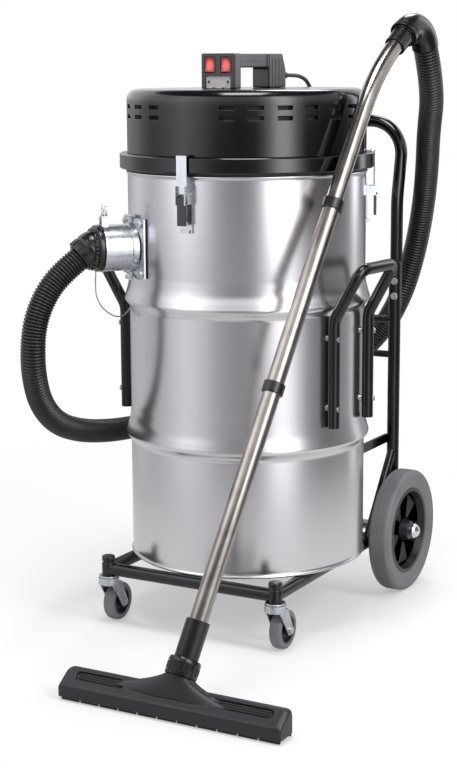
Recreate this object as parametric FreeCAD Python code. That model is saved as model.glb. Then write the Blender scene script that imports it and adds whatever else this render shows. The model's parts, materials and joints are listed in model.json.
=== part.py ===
import FreeCAD, Part
import math
import os
from FreeCAD import Vector as V

# Two-motor drum vacuum on a four-wheel trolley, with its hose, wand and floor head. Millimetres.
# Working frame: the drum's axis is Z, the floor is z = 0, the switches and the swivel casters face -Y,
# and the row's origin is set at the end, at the middle of the object's footprint.

# ---- drum and lid ----
DRUM_R = 230.0
DRUM_WALL = 1.5
DRUM_Z0 = 123.0
DRUM_Z1 = 876.0
DRUM_FLOOR_RISE = 14.0
BEAD_PROUD = 9.1
LOWER_BEAD_Z = 366.6
UPPER_BEAD_Z = 630.5
RIM_BEAD_R = 2.6
SEAL_T = 4.0
RING_H = 29.0
RING_OVERHANG = 14.8
RING_R = DRUM_R + RING_OVERHANG
RING_WALL = 14.0
PLATE_T = 5.0
COVER_H = 120.3
COVER_WALL = 3.0
COVER_EDGE_R = 20.0
VENT_W = 28.0
VENT_H = 7.5
VENT_PITCH_DEG = 13.4
VENT_FIRST_DEG = 19.3
VENTS_PER_SIDE = 9
VENT_ROW_DROPS = (32.0, 50.5)

# ---- inside ----
BAG_TOP_R = DRUM_R - 10.0
BAG_LOW_R = DRUM_R - 44.0
BAG_DEPTH = 300.0
BAG_T = 3.0
MOTOR_X = 76.0
FAN_CASE_R = 68.0
FAN_CASE_H = 42.0
MOTOR_CAN_R = 46.0
MOTOR_CAN_H = 52.0
CASE_WALL = 3.0
SHAFT_R = 5.0
RUN_CLEAR = 0.05
FREE_CLEAR = 2.0

# ---- top handle and switches ----
HANDLE_FRONT_Y = -112.0
HANDLE_BLOCK_LEN = 30.0
HANDLE_GAP_LEN = 73.0
HANDLE_TAIL_LEN = 137.0
HANDLE_W = 70.0
GRIP_W = 30.0
HANDLE_H = 65.0
GRIP_H = 27.0
HANDLE_SKIN = 5.0
ROCKER_X = 17.0
ROCKER_W = 19.0
ROCKER_H = 27.0
ROCKER_T = 9.0
ROCKER_POCKET = 6.0
PANEL_W = 52.0
PANEL_H = 22.0
PANEL_T = 2.0
GLAND_R = 9.0
GLAND_LEN = 34.0

# ---- inlet ----
INLET_DEG = -40.0
INLET_DROP = 141.0
INLET_Z = DRUM_Z1 - INLET_DROP
PLATE_SIDE = 112.0
INLET_PLATE_T = 3.0
GASKET_T = 3.0
SPIGOT_R = 44.0
SPIGOT_WALL = 2.0
SPIGOT_REACH = 68.0
SPIGOT_END = DRUM_R + SPIGOT_REACH
CUFF_FLANGE_T = 18.0
CUFF_DROOP_DEG = 36.0
CUFF_LEN = 30.0
CUFF_R = 31.0

# ---- hose and wand ----
HOSE_R = 24.0
WAND_R = 16.0
WAND_WALL = 1.2
WAND_FOOT = V(184.2, -544.7, 110.0)
WAND_REST = V(251.2, -87.7, 893.0)
CUFF_END = 45.0
CUFF_START = -21.7
RING_START = -54.0
LOWER_TUBE_END = 471.0
UPPER_TUBE_END = 829.0
BEND_START = 1026.0
BEND_R = 360.0
BEND_DEG = 24.0
SLEEVE_LEN = 34.0
ELBOW_R = 44.0
ELBOW_TUBE_R = 25.5
ELBOW_END_LEAN = 158.0
COLLAR_R = 19.5
COLLAR_LEN = 20.0

# ---- floor head ----
HEAD_X0 = -38.0
HEAD_X1 = 393.0
HEAD_FRONT_Y = -614.0
HEAD_DEPTH = 46.0
HEAD_H = 44.0
HEAD_NOSE_H = 22.0
HEAD_LIFT = 5.0
HEAD_SLOT_W = 22.0
NECK_R = 23.0
SWIVEL_R = 29.0
BLADE_T = 5.0

# ---- trolley ----
TUBE_R = 12.5
TUBE_WALL = 2.0
RAIL_X = 183.0
RAIL_FRONT_Y = -232.0
UPRIGHT_Y = 300.0
UPRIGHT_BEND_R = 70.0
UPRIGHT_TOP = 672.0
REAR_TUBE_Y = 196.0
BACK_BAR_R = 7.0
BACK_BAR_Z = (481.0, 555.0)
CRADLE_Z = 303.0
CRADLE_H = 18.0
CRADLE_T = 4.0
BRACE_TOP_Z = 285.0
BRACE_FOOT_Y = 172.0
BRACE_R = 9.0
PUSH_GAP = 0.3
PUSH_INSET = 8.0
PUSH_FOOT_Z = 578.0
PUSH_KNEE_Z = 800.0
PUSH_TOP_Z = 958.0
PUSH_TOP_Y = 356.0
PUSH_CORNER_R = 74.0
CLAMP_BOLT_Z = (605.0, 636.0)
BOLT_R = 4.0
BOLT_HEAD_R = 7.0
BOLT_HEAD_H = 5.0

# ---- side handles on the drum ----
GRIP_TUBE_R = 11.0
GRIP_DEG = 85.0
GRIP_HALF = 63.5
GRIP_FOOT_Z = 403.0
GRIP_KNEE_Z = 606.0
GRIP_TOP_Z = 704.0
GRIP_FLARE = 56.0
GRIP_STANDOFF = 3.0
GRIP_BOLT_Z = (440.0, 572.0)

# ---- wheels ----
REAR_WHEEL_R = 125.0
REAR_WHEEL_W = 44.0
REAR_AXLE_Y = 250.0
REAR_AXLE_R = 10.0
REAR_FACE_X = 249.5
HUB_R = 88.0
HUB_BOSS_R = 19.0
HUB_WEB_T = 6.0
SPOKES = 5
CASTER_R = 37.5
CASTER_W = 24.0
CASTER_HUB_R = 26.0
CASTER_TRAIL = 30.0
CASTER_STEM_R = 6.0
CASTER_AXLE_R = 4.0
FORK_T = 2.5
FORK_GAP = 2.0
SOCKET_R = 13.0
SOCKET_TOP = 137.0

# ---- latches ----
LATCH_DEGS = (0.0, -120.0, 120.0)
LATCH_NAMES = ("front", "left", "right")
LATCH_STANDOFF = 13.5
LATCH_PIVOT_U = DRUM_R + LATCH_STANDOFF
LATCH_DROP = 42.0
LATCH_PIVOT_Z = DRUM_Z1 - LATCH_DROP
LATCH_HOOK_DU = 7.0
LATCH_HOOK_DZ = -6.0
LATCH_PIN_R = 2.0
LEVER_W = 17.0
LEVER_LEN = 48.0
LEVER_T = 4.0
STRAP_W = 24.0
STRAP_T = 1.8
LATCH_SIDE_GAP = 0.4
EAR_T = 2.0

# ---- mains cable ----
CABLE_R = 4.0
COIL_X = -52.0
COIL_Y = 396.0
COIL_MEAN_R = 64.0
COIL_W = 40.0
COIL_H = 40.0
PLUG_W = 48.0
PLUG_LEN = 46.0
PLUG_H = 27.0
PLUG_RELIEF = 20.0
TETHER_R = 1.25

UP = V(0, 0, 1)
RIM_TOP = DRUM_Z1
RING_Z0 = DRUM_Z1 + SEAL_T
RING_Z1 = RING_Z0 + RING_H
COVER_TOP = RING_Z1 + COVER_H
AXLE_Z = REAR_WHEEL_R
RAIL_Z = DRUM_Z0 - TUBE_R

parts = {}
cord_names = ("mains_cable", "cable_coil", "plug", "hose", "tether_wire")


def radial(deg):
    """Unit vector on the floor plane, deg from the front (-Y) towards +X."""
    a = math.radians(deg)
    return V(math.sin(a), -math.cos(a), 0)


def rod(start, end, radius):
    return Part.makeCylinder(radius, (end - start).Length, start, end - start)


def pipe(start, end, radius, bore):
    return rod(start, end, radius).cut(rod(start, end, bore))


def box(x0, x1, y0, y1, z0, z1):
    return Part.makeBox(x1 - x0, y1 - y0, z1 - z0, V(x0, y0, z0))


def revolve(points, base=V(0, 0, 0), axis=UP):
    """Solid of revolution of a closed polygon of (radius, height) about base and axis."""
    corners = [V(r, 0, z) for r, z in points]
    solid = Part.Face(Part.makePolygon(corners + corners[:1])).revolve(V(0, 0, 0), UP, 360)
    solid = Part.Solid(solid.Shells[0]) if solid.ShapeType != "Solid" else solid
    if solid.Volume < 0:
        solid.reverse()
    solid.Placement = FreeCAD.Placement(base, FreeCAD.Rotation(UP, axis))
    return solid


def outward(shape, deg):
    """Turn a shape drawn at +X (radial u = x, sideways = y) to the angle deg round the drum."""
    turned = shape.copy()
    turned.rotate(V(0, 0, 0), UP, deg - 90.0)
    return turned


def mirrored(shape):
    return shape.mirror(V(0, 0, 0), V(1, 0, 0))


def both_sides(shape):
    return Part.makeCompound([shape, mirrored(shape)])


def group(shapes):
    return Part.makeCompound(list(shapes))


def one(shape):
    """The single solid of a boolean result."""
    return shape.Solids[0] if len(shape.Solids) == 1 else shape


def rounded_path(points, radii):
    """Straight runs joined by tangent arcs of the given radius at each inner point."""
    edges = []
    last = points[0]
    for before, corner, after, radius in zip(points, points[1:], points[2:], radii):
        to_start = (before - corner).normalize()
        to_end = (after - corner).normalize()
        half = to_start.getAngle(to_end) / 2
        reach = radius / math.tan(half)
        a = corner + to_start * reach
        b = corner + to_end * reach
        bisector = (to_start + to_end).normalize()
        middle = corner + bisector * (radius / math.sin(half) - radius)
        if (a - last).Length > 1e-6:
            edges.append(Part.LineSegment(last, a).toShape())
        edges.append(Part.Arc(a, middle, b).toShape())
        last = b
    edges.append(Part.LineSegment(last, points[-1]).toShape())
    return Part.Wire(edges)


def swept(path, radius):
    start = path.OrderedEdges[0]
    tangent = start.tangentAt(start.FirstParameter)
    ring = Part.Wire(Part.makeCircle(radius, path.OrderedVertexes[0].Point, tangent))
    return Part.Wire(path.OrderedEdges).makePipeShell([ring], True, False)


def bent_tube(points, radii, radius, bore=0.0):
    path = rounded_path(points, radii)
    outer = swept(path, radius)
    return outer.cut(swept(path, bore)) if bore else outer


def cord_tube(name, points, radius, tightest):
    """A free cord: each arc as large as its two runs allow. Prints its radii and length."""
    radii = []
    for before, corner, after in zip(points, points[1:], points[2:]):
        turn = (corner - before).getAngle(after - corner)
        run = min((corner - before).Length, (after - corner).Length)
        radii.append(0.45 * run / math.tan(turn / 2))
    path = rounded_path(points, radii)
    tube = swept(path, radius)
    expected = math.pi * radius ** 2 * path.Length
    print(name, "length", round(path.Length), "tightest radius", round(min(radii)), "floor", tightest,
          "volume ratio", round(tube.Volume / expected, 4))
    return tube


def bolt(seat, direction, shank):
    """A bolt whose head sits on seat and whose shank runs along direction."""
    head = rod(seat - direction * BOLT_HEAD_H, seat, BOLT_HEAD_R)
    return head.fuse(rod(seat, seat + direction * shank, BOLT_R))


# ------------------------------------------------------------------ drum
def wall_wire(inset, z_low, z_high):
    """Points and curves of the drum wall, inset towards the axis, from z_low up to z_high."""
    r = DRUM_R - inset
    curves = []
    last = V(r, 0, z_low)
    for z in (LOWER_BEAD_Z, UPPER_BEAD_Z):
        shape = ((0.0, -16.0), (0.35, -11.0), (1.0, -2.0), (0.80, 8.0), (0.22, 28.0), (0.0, 50.0))
        knots = [V(r + share * BEAD_PROUD, 0, z + dz) for share, dz in shape]
        curves.append(Part.LineSegment(last, knots[0]).toShape())
        swell = Part.BSplineCurve()
        swell.interpolate(knots, InitialTangent=UP, FinalTangent=UP)
        curves.append(swell.toShape())
        last = knots[-1]
    top = V(r, 0, z_high)
    curves.append(Part.LineSegment(last, top).toShape())
    return curves, V(r, 0, z_low), top


def drum_shell():
    floor_z = DRUM_Z0 + DRUM_FLOOR_RISE
    outer, low, high = wall_wire(0.0, DRUM_Z0 + 2.0, RIM_TOP)
    inner, inner_low, inner_high = wall_wire(DRUM_WALL, floor_z + DRUM_WALL, RIM_TOP)
    axis_up = V(0, 0, floor_z + DRUM_WALL)
    axis_low = V(0, 0, floor_z)
    skirt_in = V(DRUM_R - DRUM_WALL, 0, floor_z)
    skirt_low = V(DRUM_R - DRUM_WALL, 0, DRUM_Z0 + 2.0)
    loop = [Part.LineSegment(high, inner_high).toShape()] + inner
    for a, b in ((inner_low, axis_up), (axis_up, axis_low), (axis_low, skirt_in),
                 (skirt_in, skirt_low), (skirt_low, low)):
        loop.append(Part.LineSegment(a, b).toShape())
    wire = Part.Wire(Part.__sortEdges__(outer + loop))
    shell = Part.Face(wire).revolve(V(0, 0, 0), UP, 360)
    foot_bead = Part.makeTorus(DRUM_R, RIM_BEAD_R, V(0, 0, DRUM_Z0 + RIM_BEAD_R))
    top_bead = Part.makeTorus(DRUM_R, RIM_BEAD_R, V(0, 0, RIM_TOP - RIM_BEAD_R))
    shell = shell.fuse([foot_bead, top_bead])
    n = radial(INLET_DEG)
    at = V(0, 0, INLET_Z)
    return one(shell.cut(rod(at + n * 200.0, at + n * 260.0, SPIGOT_R - SPIGOT_WALL)))


def leg_point(side, u, z):
    return V(u, side * GRIP_HALF, z)


def drum_handle():
    leg_u = math.sqrt((DRUM_R + GRIP_STANDOFF + GRIP_TUBE_R) ** 2 - GRIP_HALF ** 2)
    top_u = leg_u + GRIP_FLARE
    points = [leg_point(-1, leg_u, GRIP_FOOT_Z), leg_point(-1, leg_u, GRIP_KNEE_Z),
              leg_point(-1, top_u, GRIP_TOP_Z), leg_point(1, top_u, GRIP_TOP_Z),
              leg_point(1, leg_u, GRIP_KNEE_Z), leg_point(1, leg_u, GRIP_FOOT_Z)]
    return bent_tube(points, (40, 22, 22, 40), GRIP_TUBE_R, GRIP_TUBE_R - TUBE_WALL)


def drum_handle_bolts():
    """Stud bolts with a spacer between each leg and the drum wall, drawn at +X."""
    bolts = []
    leg_r = DRUM_R + GRIP_STANDOFF + GRIP_TUBE_R
    spread = math.degrees(math.asin(GRIP_HALF / leg_r))
    for angle in (-spread, spread):
        for z in GRIP_BOLT_Z:
            spacer = rod(V(DRUM_R - 0.5, 0, z), V(leg_r - GRIP_TUBE_R + 0.6, 0, z), BOLT_HEAD_R)
            head = rod(V(leg_r + GRIP_TUBE_R - 0.4, 0, z), V(leg_r + GRIP_TUBE_R + 3.0, 0, z), BOLT_R + 1)
            shank = rod(V(DRUM_R - 8.0, 0, z), V(leg_r + GRIP_TUBE_R, 0, z), BOLT_R)
            stud = spacer.fuse([head, shank])
            stud.rotate(V(0, 0, 0), UP, angle)
            bolts.append(stud)
    return bolts


def drum_group():
    handle = outward(drum_handle(), GRIP_DEG)
    studs = [outward(s, GRIP_DEG) for s in drum_handle_bolts()]
    studs = studs + [mirrored(s) for s in studs]
    drum = drum_shell()
    handles = [handle, mirrored(handle)]
    for stud in studs:
        drum = drum.cut(stud)
        handles = [h.cut(stud) for h in handles]
    parts["drum_shell"] = one(drum)
    parts["drum_handles"] = group(one(h) for h in handles)
    return studs


# ------------------------------------------------------------------ inlet
def saddle(r0, r1, side):
    """A square patch of a cylinder wall round the drum, drawn at +X and centred on the inlet height."""
    ring = Part.makeCylinder(r1, side, V(0, 0, INLET_Z - side / 2))
    ring = ring.cut(Part.makeCylinder(r0, side, V(0, 0, INLET_Z - side / 2)))
    return ring.common(box(100, r1 + 1, -side / 2, side / 2, INLET_Z - side, INLET_Z + side))


def inlet():
    at = V(0, 0, INLET_Z)
    out = V(1, 0, 0)
    gasket_r = DRUM_R + 0.2
    plate_r = gasket_r + GASKET_T
    bore_r = SPIGOT_R - SPIGOT_WALL
    bore = rod(at + out * 150.0, at + out * 320.0, bore_r)
    gasket = saddle(gasket_r, plate_r, PLATE_SIDE - 4).cut(bore)
    plate = saddle(plate_r, plate_r + INLET_PLATE_T, PLATE_SIDE)
    tube = rod(at + out * (plate_r + 1), at + out * SPIGOT_END, SPIGOT_R)
    lip = rod(at + out * (SPIGOT_END - 3), at + out * SPIGOT_END, SPIGOT_R + 1.5)
    collar = rod(at + out * (plate_r + 1), at + out * (plate_r + 12), SPIGOT_R + 3)
    outside = Part.makeCylinder(plate_r, 200, V(0, 0, INLET_Z - 100))
    spigot = plate.fuse([tube, lip, collar]).cut(outside).cut(bore)
    bolts = []
    reach = PLATE_SIDE / 2 - 9
    for sy in (-1, 1):
        for sz in (-1, 1):
            angle = math.degrees(math.asin(sy * reach / plate_r))
            z = INLET_Z + sz * reach
            seat = V(plate_r + INLET_PLATE_T, 0, z)
            screw = bolt(seat, V(-1, 0, 0), 14)
            screw.rotate(V(0, 0, 0), UP, angle)
            bolts.append(screw)
    for screw in bolts:
        gasket = gasket.cut(screw)
        spigot = spigot.cut(screw)
    # fork bracket and brass bush of the cuff's lock screw, on top of the spigot near its mouth
    u = SPIGOT_END - 9
    top = INLET_Z + SPIGOT_R
    fork = box(u - 7, u + 7, -9, -6.5, top - 2, top + 16)
    fork = fork.fuse([box(u - 7, u + 7, 6.5, 9, top - 2, top + 16), box(u - 7, u + 7, -9, 9, top + 13, top + 16)])
    bush = rod(V(u, 0, top + 13), V(u, 0, top + 22), 6)
    fork = fork.fuse(bush).cut(rod(V(u, 0, top - 10), V(u, 0, top + 30), 3 + RUN_CLEAR))
    fork = fork.cut(tube.fuse(lip))
    stem = rod(V(u, 0, top + 4), V(u, 0, top + 32), 3)
    wing = box(u - 1.5, u + 1.5, -9, 9, top + 27, top + 30)
    lobes = [rod(V(u - 1.5, s * 9, top + 31), V(u + 1.5, s * 9, top + 31), 4.5) for s in (-1, 1)]
    screw = stem.fuse([wing] + lobes + [rod(V(u, 0, top + 24), V(u, 0, top + 28), 5)])
    bolts = [outward(b, INLET_DEG) for b in bolts]
    parts["drum_shell"] = one(parts["drum_shell"].cut(group(bolts)))
    parts["inlet_gasket"] = outward(one(gasket), INLET_DEG)
    parts["inlet_spigot"] = outward(one(spigot), INLET_DEG)
    parts["lock_bracket"] = outward(one(fork), INLET_DEG)
    parts["lock_screw"] = outward(one(screw), INLET_DEG)
    return bolts


def cuff_frame():
    """Middle of the cuff's knuckle and the drooping direction of its sleeve."""
    n = radial(INLET_DEG)
    droop = math.radians(CUFF_DROOP_DEG)
    knuckle = V(0, 0, INLET_Z) + n * (SPIGOT_END + CUFF_FLANGE_T - 2)
    return n, knuckle, n * math.cos(droop) - UP * math.sin(droop)


def hose_cuff():
    n, knuckle, lean = cuff_frame()
    at = V(0, 0, INLET_Z)
    plug_r = SPIGOT_R - SPIGOT_WALL - 0.3
    insert = rod(at + n * (SPIGOT_END - 30), at + n * (SPIGOT_END + 1), plug_r)
    flange = rod(at + n * (SPIGOT_END + 0.2), at + n * (SPIGOT_END + CUFF_FLANGE_T), SPIGOT_R)
    ball = Part.makeSphere(CUFF_R + 3, knuckle)
    sleeve = rod(knuckle, knuckle + lean * CUFF_LEN, CUFF_R)
    keep = rod(at + n * (SPIGOT_END - 31), at + n * (SPIGOT_END + 200), 200)
    cuff = insert.fuse([flange, ball.common(keep), sleeve])
    bore = rod(at + n * (SPIGOT_END - 40), knuckle, HOSE_R - 4)
    bore = bore.fuse([Part.makeSphere(HOSE_R - 4, knuckle), rod(knuckle, knuckle + lean * 90, HOSE_R - 4)])
    return one(cuff.cut(bore))


# ------------------------------------------------------------------ hose and wand
def wand_axis():
    return (WAND_REST - WAND_FOOT).normalize()


def wand_at(s):
    return WAND_FOOT + wand_axis() * s


def lean_dir(lean_deg):
    """Direction in the wand's upright plane, lean_deg from the vertical."""
    flat = V(wand_axis().x, wand_axis().y, 0).normalize()
    a = math.radians(lean_deg)
    return flat * math.sin(a) + UP * math.cos(a)


def wand_lean():
    return math.degrees(wand_axis().getAngle(UP))


def arc_edge(start, lean_a, lean_b, radius):
    """Arc in the wand's upright plane that starts at start and turns from lean_a to lean_b degrees."""
    centre = start - lean_dir(lean_a - 90) * radius
    middle = centre + lean_dir((lean_a + lean_b) / 2 - 90) * radius
    end = centre + lean_dir(lean_b - 90) * radius
    return Part.Arc(start, middle, end).toShape(), end


def arc_rod(start, lean_a, lean_b, radius, tube_r):
    """Round bar along the arc of arc_edge, as a piece of a torus."""
    centre = start - lean_dir(lean_a - 90) * radius
    normal = lean_dir(90).cross(UP)
    disc = Part.Face(Part.Wire(Part.makeCircle(tube_r, start, lean_dir(lean_a))))
    return disc.revolve(centre, normal * -1, lean_b - lean_a)


def bent_wand_path():
    start = wand_at(UPPER_TUBE_END)
    bend = wand_at(BEND_START)
    arc, end = arc_edge(bend, wand_lean(), wand_lean() + BEND_DEG, BEND_R)
    tip = end + lean_dir(wand_lean() + BEND_DEG) * 14
    edges = [Part.LineSegment(start, bend).toShape(), arc, Part.LineSegment(end, tip).toShape()]
    return Part.Wire(edges), tip


def hollow_sweep(path, radius, bore):
    return swept(path, radius).cut(swept(path, bore))


def elbow():
    """Swivel elbow: a sleeve over the wand's end, a collar and a short bend down to the hose."""
    path, tip = bent_wand_path()
    lean = wand_lean() + BEND_DEG
    along = lean_dir(lean)
    sleeve_start = tip - along * 12
    collar_start = sleeve_start + along * SLEEVE_LEN
    bend_start = collar_start + along * 16
    end = arc_edge(bend_start, lean, ELBOW_END_LEAN, ELBOW_R)[1]
    down = lean_dir(ELBOW_END_LEAN)
    exit_point = end + down * 12
    body = arc_rod(bend_start, lean, ELBOW_END_LEAN, ELBOW_R, ELBOW_TUBE_R)
    body = body.fuse([rod(end, exit_point, ELBOW_TUBE_R), rod(collar_start + along * 0.2, bend_start, HOSE_R - 1)])
    bore = arc_rod(bend_start, lean, ELBOW_END_LEAN, ELBOW_R, WAND_R)
    bore = bore.fuse([rod(end, exit_point + down * 2, WAND_R), rod(collar_start - along, bend_start, WAND_R)])
    ring = pipe(collar_start + along * 3, collar_start + along * 13, HOSE_R + 3, HOSE_R - 0.7)
    sleeve = Part.makeCone(WAND_R + 4, HOSE_R - 3, SLEEVE_LEN, sleeve_start, along)
    sleeve = sleeve.cut(rod(sleeve_start - along, sleeve_start + along * 60, WAND_R + 0.02))
    return one(body.cut(bore)), ring, one(sleeve), exit_point, down


def wand():
    foot = wand_at(CUFF_END - 34)
    lower = pipe(foot, wand_at(LOWER_TUBE_END), WAND_R, WAND_R - WAND_WALL)
    upper = pipe(wand_at(LOWER_TUBE_END + 0.5), wand_at(UPPER_TUBE_END - 0.5), WAND_R, WAND_R - WAND_WALL)
    path, tip = bent_wand_path()
    parts["wand_straight_tubes"] = group([lower, upper])
    parts["wand_bent_tube"] = one(hollow_sweep(path, WAND_R, WAND_R - WAND_WALL))
    body, ring, sleeve, exit_point, down = elbow()
    parts["hose_elbow"] = body
    collars = [ring, sleeve]
    for s in (LOWER_TUBE_END, UPPER_TUBE_END):
        collars.append(pipe(wand_at(s - COLLAR_LEN / 2), wand_at(s + COLLAR_LEN / 2), COLLAR_R, WAND_R + 0.02))
    parts["wand_collars"] = group(collars)
    return exit_point, down


def floor_head():
    """Long floor head on two rubber blades, with its swivel neck, ring and cuff."""
    x_mid = (HEAD_X0 + HEAD_X1) / 2
    y0 = HEAD_FRONT_Y
    y1 = y0 + HEAD_DEPTH
    lift = HEAD_LIFT
    outline = [(y0, lift), (y1, lift), (y1, lift + HEAD_H - 8), (y1 - 6, lift + HEAD_H),
               (y1 - 20, lift + HEAD_H), (y0, lift + HEAD_NOSE_H)]
    corners = [V(HEAD_X0, y, z) for y, z in outline]
    body = Part.Face(Part.makePolygon(corners + corners[:1])).extrude(V(HEAD_X1 - HEAD_X0, 0, 0))
    neck_foot = V(x_mid, y1 - 24, lift + 20)
    ring_mid = wand_at(RING_START)
    neck = Part.makeCone(30, NECK_R, (ring_mid - neck_foot).Length, neck_foot, ring_mid - neck_foot)
    nose = box(HEAD_X0 - 1, HEAD_X1 + 1, y0 - 60, y1 + 60, -200, lift + 1)
    slot_y = y0 + HEAD_DEPTH / 2 - HEAD_SLOT_W / 2
    duct = box(HEAD_X0 + 14, HEAD_X1 - 14, slot_y, slot_y + HEAD_SLOT_W, lift - 1, lift + 14)
    channels = []
    for a, b in ((HEAD_X0 + 26, x_mid - 62), (x_mid + 62, HEAD_X1 - 26)):
        channels.append(box(a, b, y1 - 19, y1 - 9, lift + HEAD_H - 12, lift + HEAD_H + 1))
    throat = Part.makeCone(13, 15.5, 90, V(x_mid, y1 - 26, lift + 8), ring_mid - neck_foot)
    body = body.fuse(neck.cut(nose)).cut(throat)
    for cutter in [duct] + channels:
        body = body.cut(cutter)
    trim = rod(ring_mid, ring_mid + wand_axis() * 200, 80)
    body = body.cut(trim)
    ring = pipe(ring_mid + wand_axis() * 0.3, wand_at(CUFF_START - 0.3), SWIVEL_R, NECK_R - 4)
    cuff = rod(wand_at(CUFF_START), wand_at(CUFF_END), WAND_R + 5)
    cuff = cuff.cut(rod(wand_at(CUFF_START - 1), wand_at(CUFF_END - 34), WAND_R - 2))
    cuff = cuff.cut(rod(wand_at(CUFF_END - 34), wand_at(CUFF_END + 1), WAND_R + 0.02))
    parts["floor_head"] = one(body)
    parts["floor_swivel_ring"] = ring
    parts["floor_cuff"] = one(cuff)
    blades = []
    for y in (y0 + 1.0, y1 - BLADE_T - 1.0):
        blades.append(box(HEAD_X0 + 4, HEAD_X1 - 4, y, y + BLADE_T, 0, lift))
    parts["floor_blades"] = group(blades)


# ------------------------------------------------------------------ lid and head
def latch_slots(r0):
    """Clearance notches in the lid ring, one for each latch strap."""
    half = STRAP_W / 2 + 1.5
    return [outward(box(r0, RING_R + 8, -half, half, RING_Z0 - 1, RING_Z1 + 1), d) for d in LATCH_DEGS]


def head_base():
    ring = revolve([(RING_R - RING_WALL, RING_Z0), (RING_R - 2, RING_Z0), (RING_R, RING_Z0 + 2),
                    (RING_R, RING_Z1 - 2), (RING_R - 2, RING_Z1), (RING_R - RING_WALL, RING_Z1)])
    plate_z = RING_Z0 + 8
    plate = Part.makeCylinder(RING_R - RING_WALL + 1, PLATE_T, V(0, 0, plate_z))
    base = ring.fuse(plate)
    for sx in (-1, 1):
        base = base.cut(Part.makeCylinder(30, 40, V(sx * MOTOR_X, 0, plate_z - 10)))
    for slot in latch_slots(DRUM_R + 7):
        base = base.cut(slot)
    return one(base)


def head_cover():
    outer_r = DRUM_R
    inner_r = outer_r - COVER_WALL
    z0 = RING_Z1 + 0.2
    e = COVER_EDGE_R
    steps = [math.radians(a) for a in range(0, 91, 15)]
    rim = [(outer_r - e + e * math.cos(a), COVER_TOP - e + e * math.sin(a)) for a in steps]
    ie = e - COVER_WALL
    inner = [(inner_r - ie + ie * math.cos(a), COVER_TOP - COVER_WALL - ie + ie * math.sin(a)) for a in steps]
    shell = revolve([(outer_r, z0)] + rim + [(0, COVER_TOP), (0, COVER_TOP - COVER_WALL)]
                    + inner[::-1] + [(inner_r, z0)])
    cutters = []
    for row, drop in enumerate(VENT_ROW_DROPS):
        z = COVER_TOP - drop
        for k in range(VENTS_PER_SIDE):
            for side in (-1, 1):
                deg = side * (VENT_FIRST_DEG + k * VENT_PITCH_DEG)
                slot = box(inner_r - 20, outer_r + 5, -VENT_W / 2, VENT_W / 2, z - VENT_H / 2, z + VENT_H / 2)
                cutters.append(outward(slot, deg))
    shell = shell.cut(group(cutters))
    return one(shell)


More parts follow.
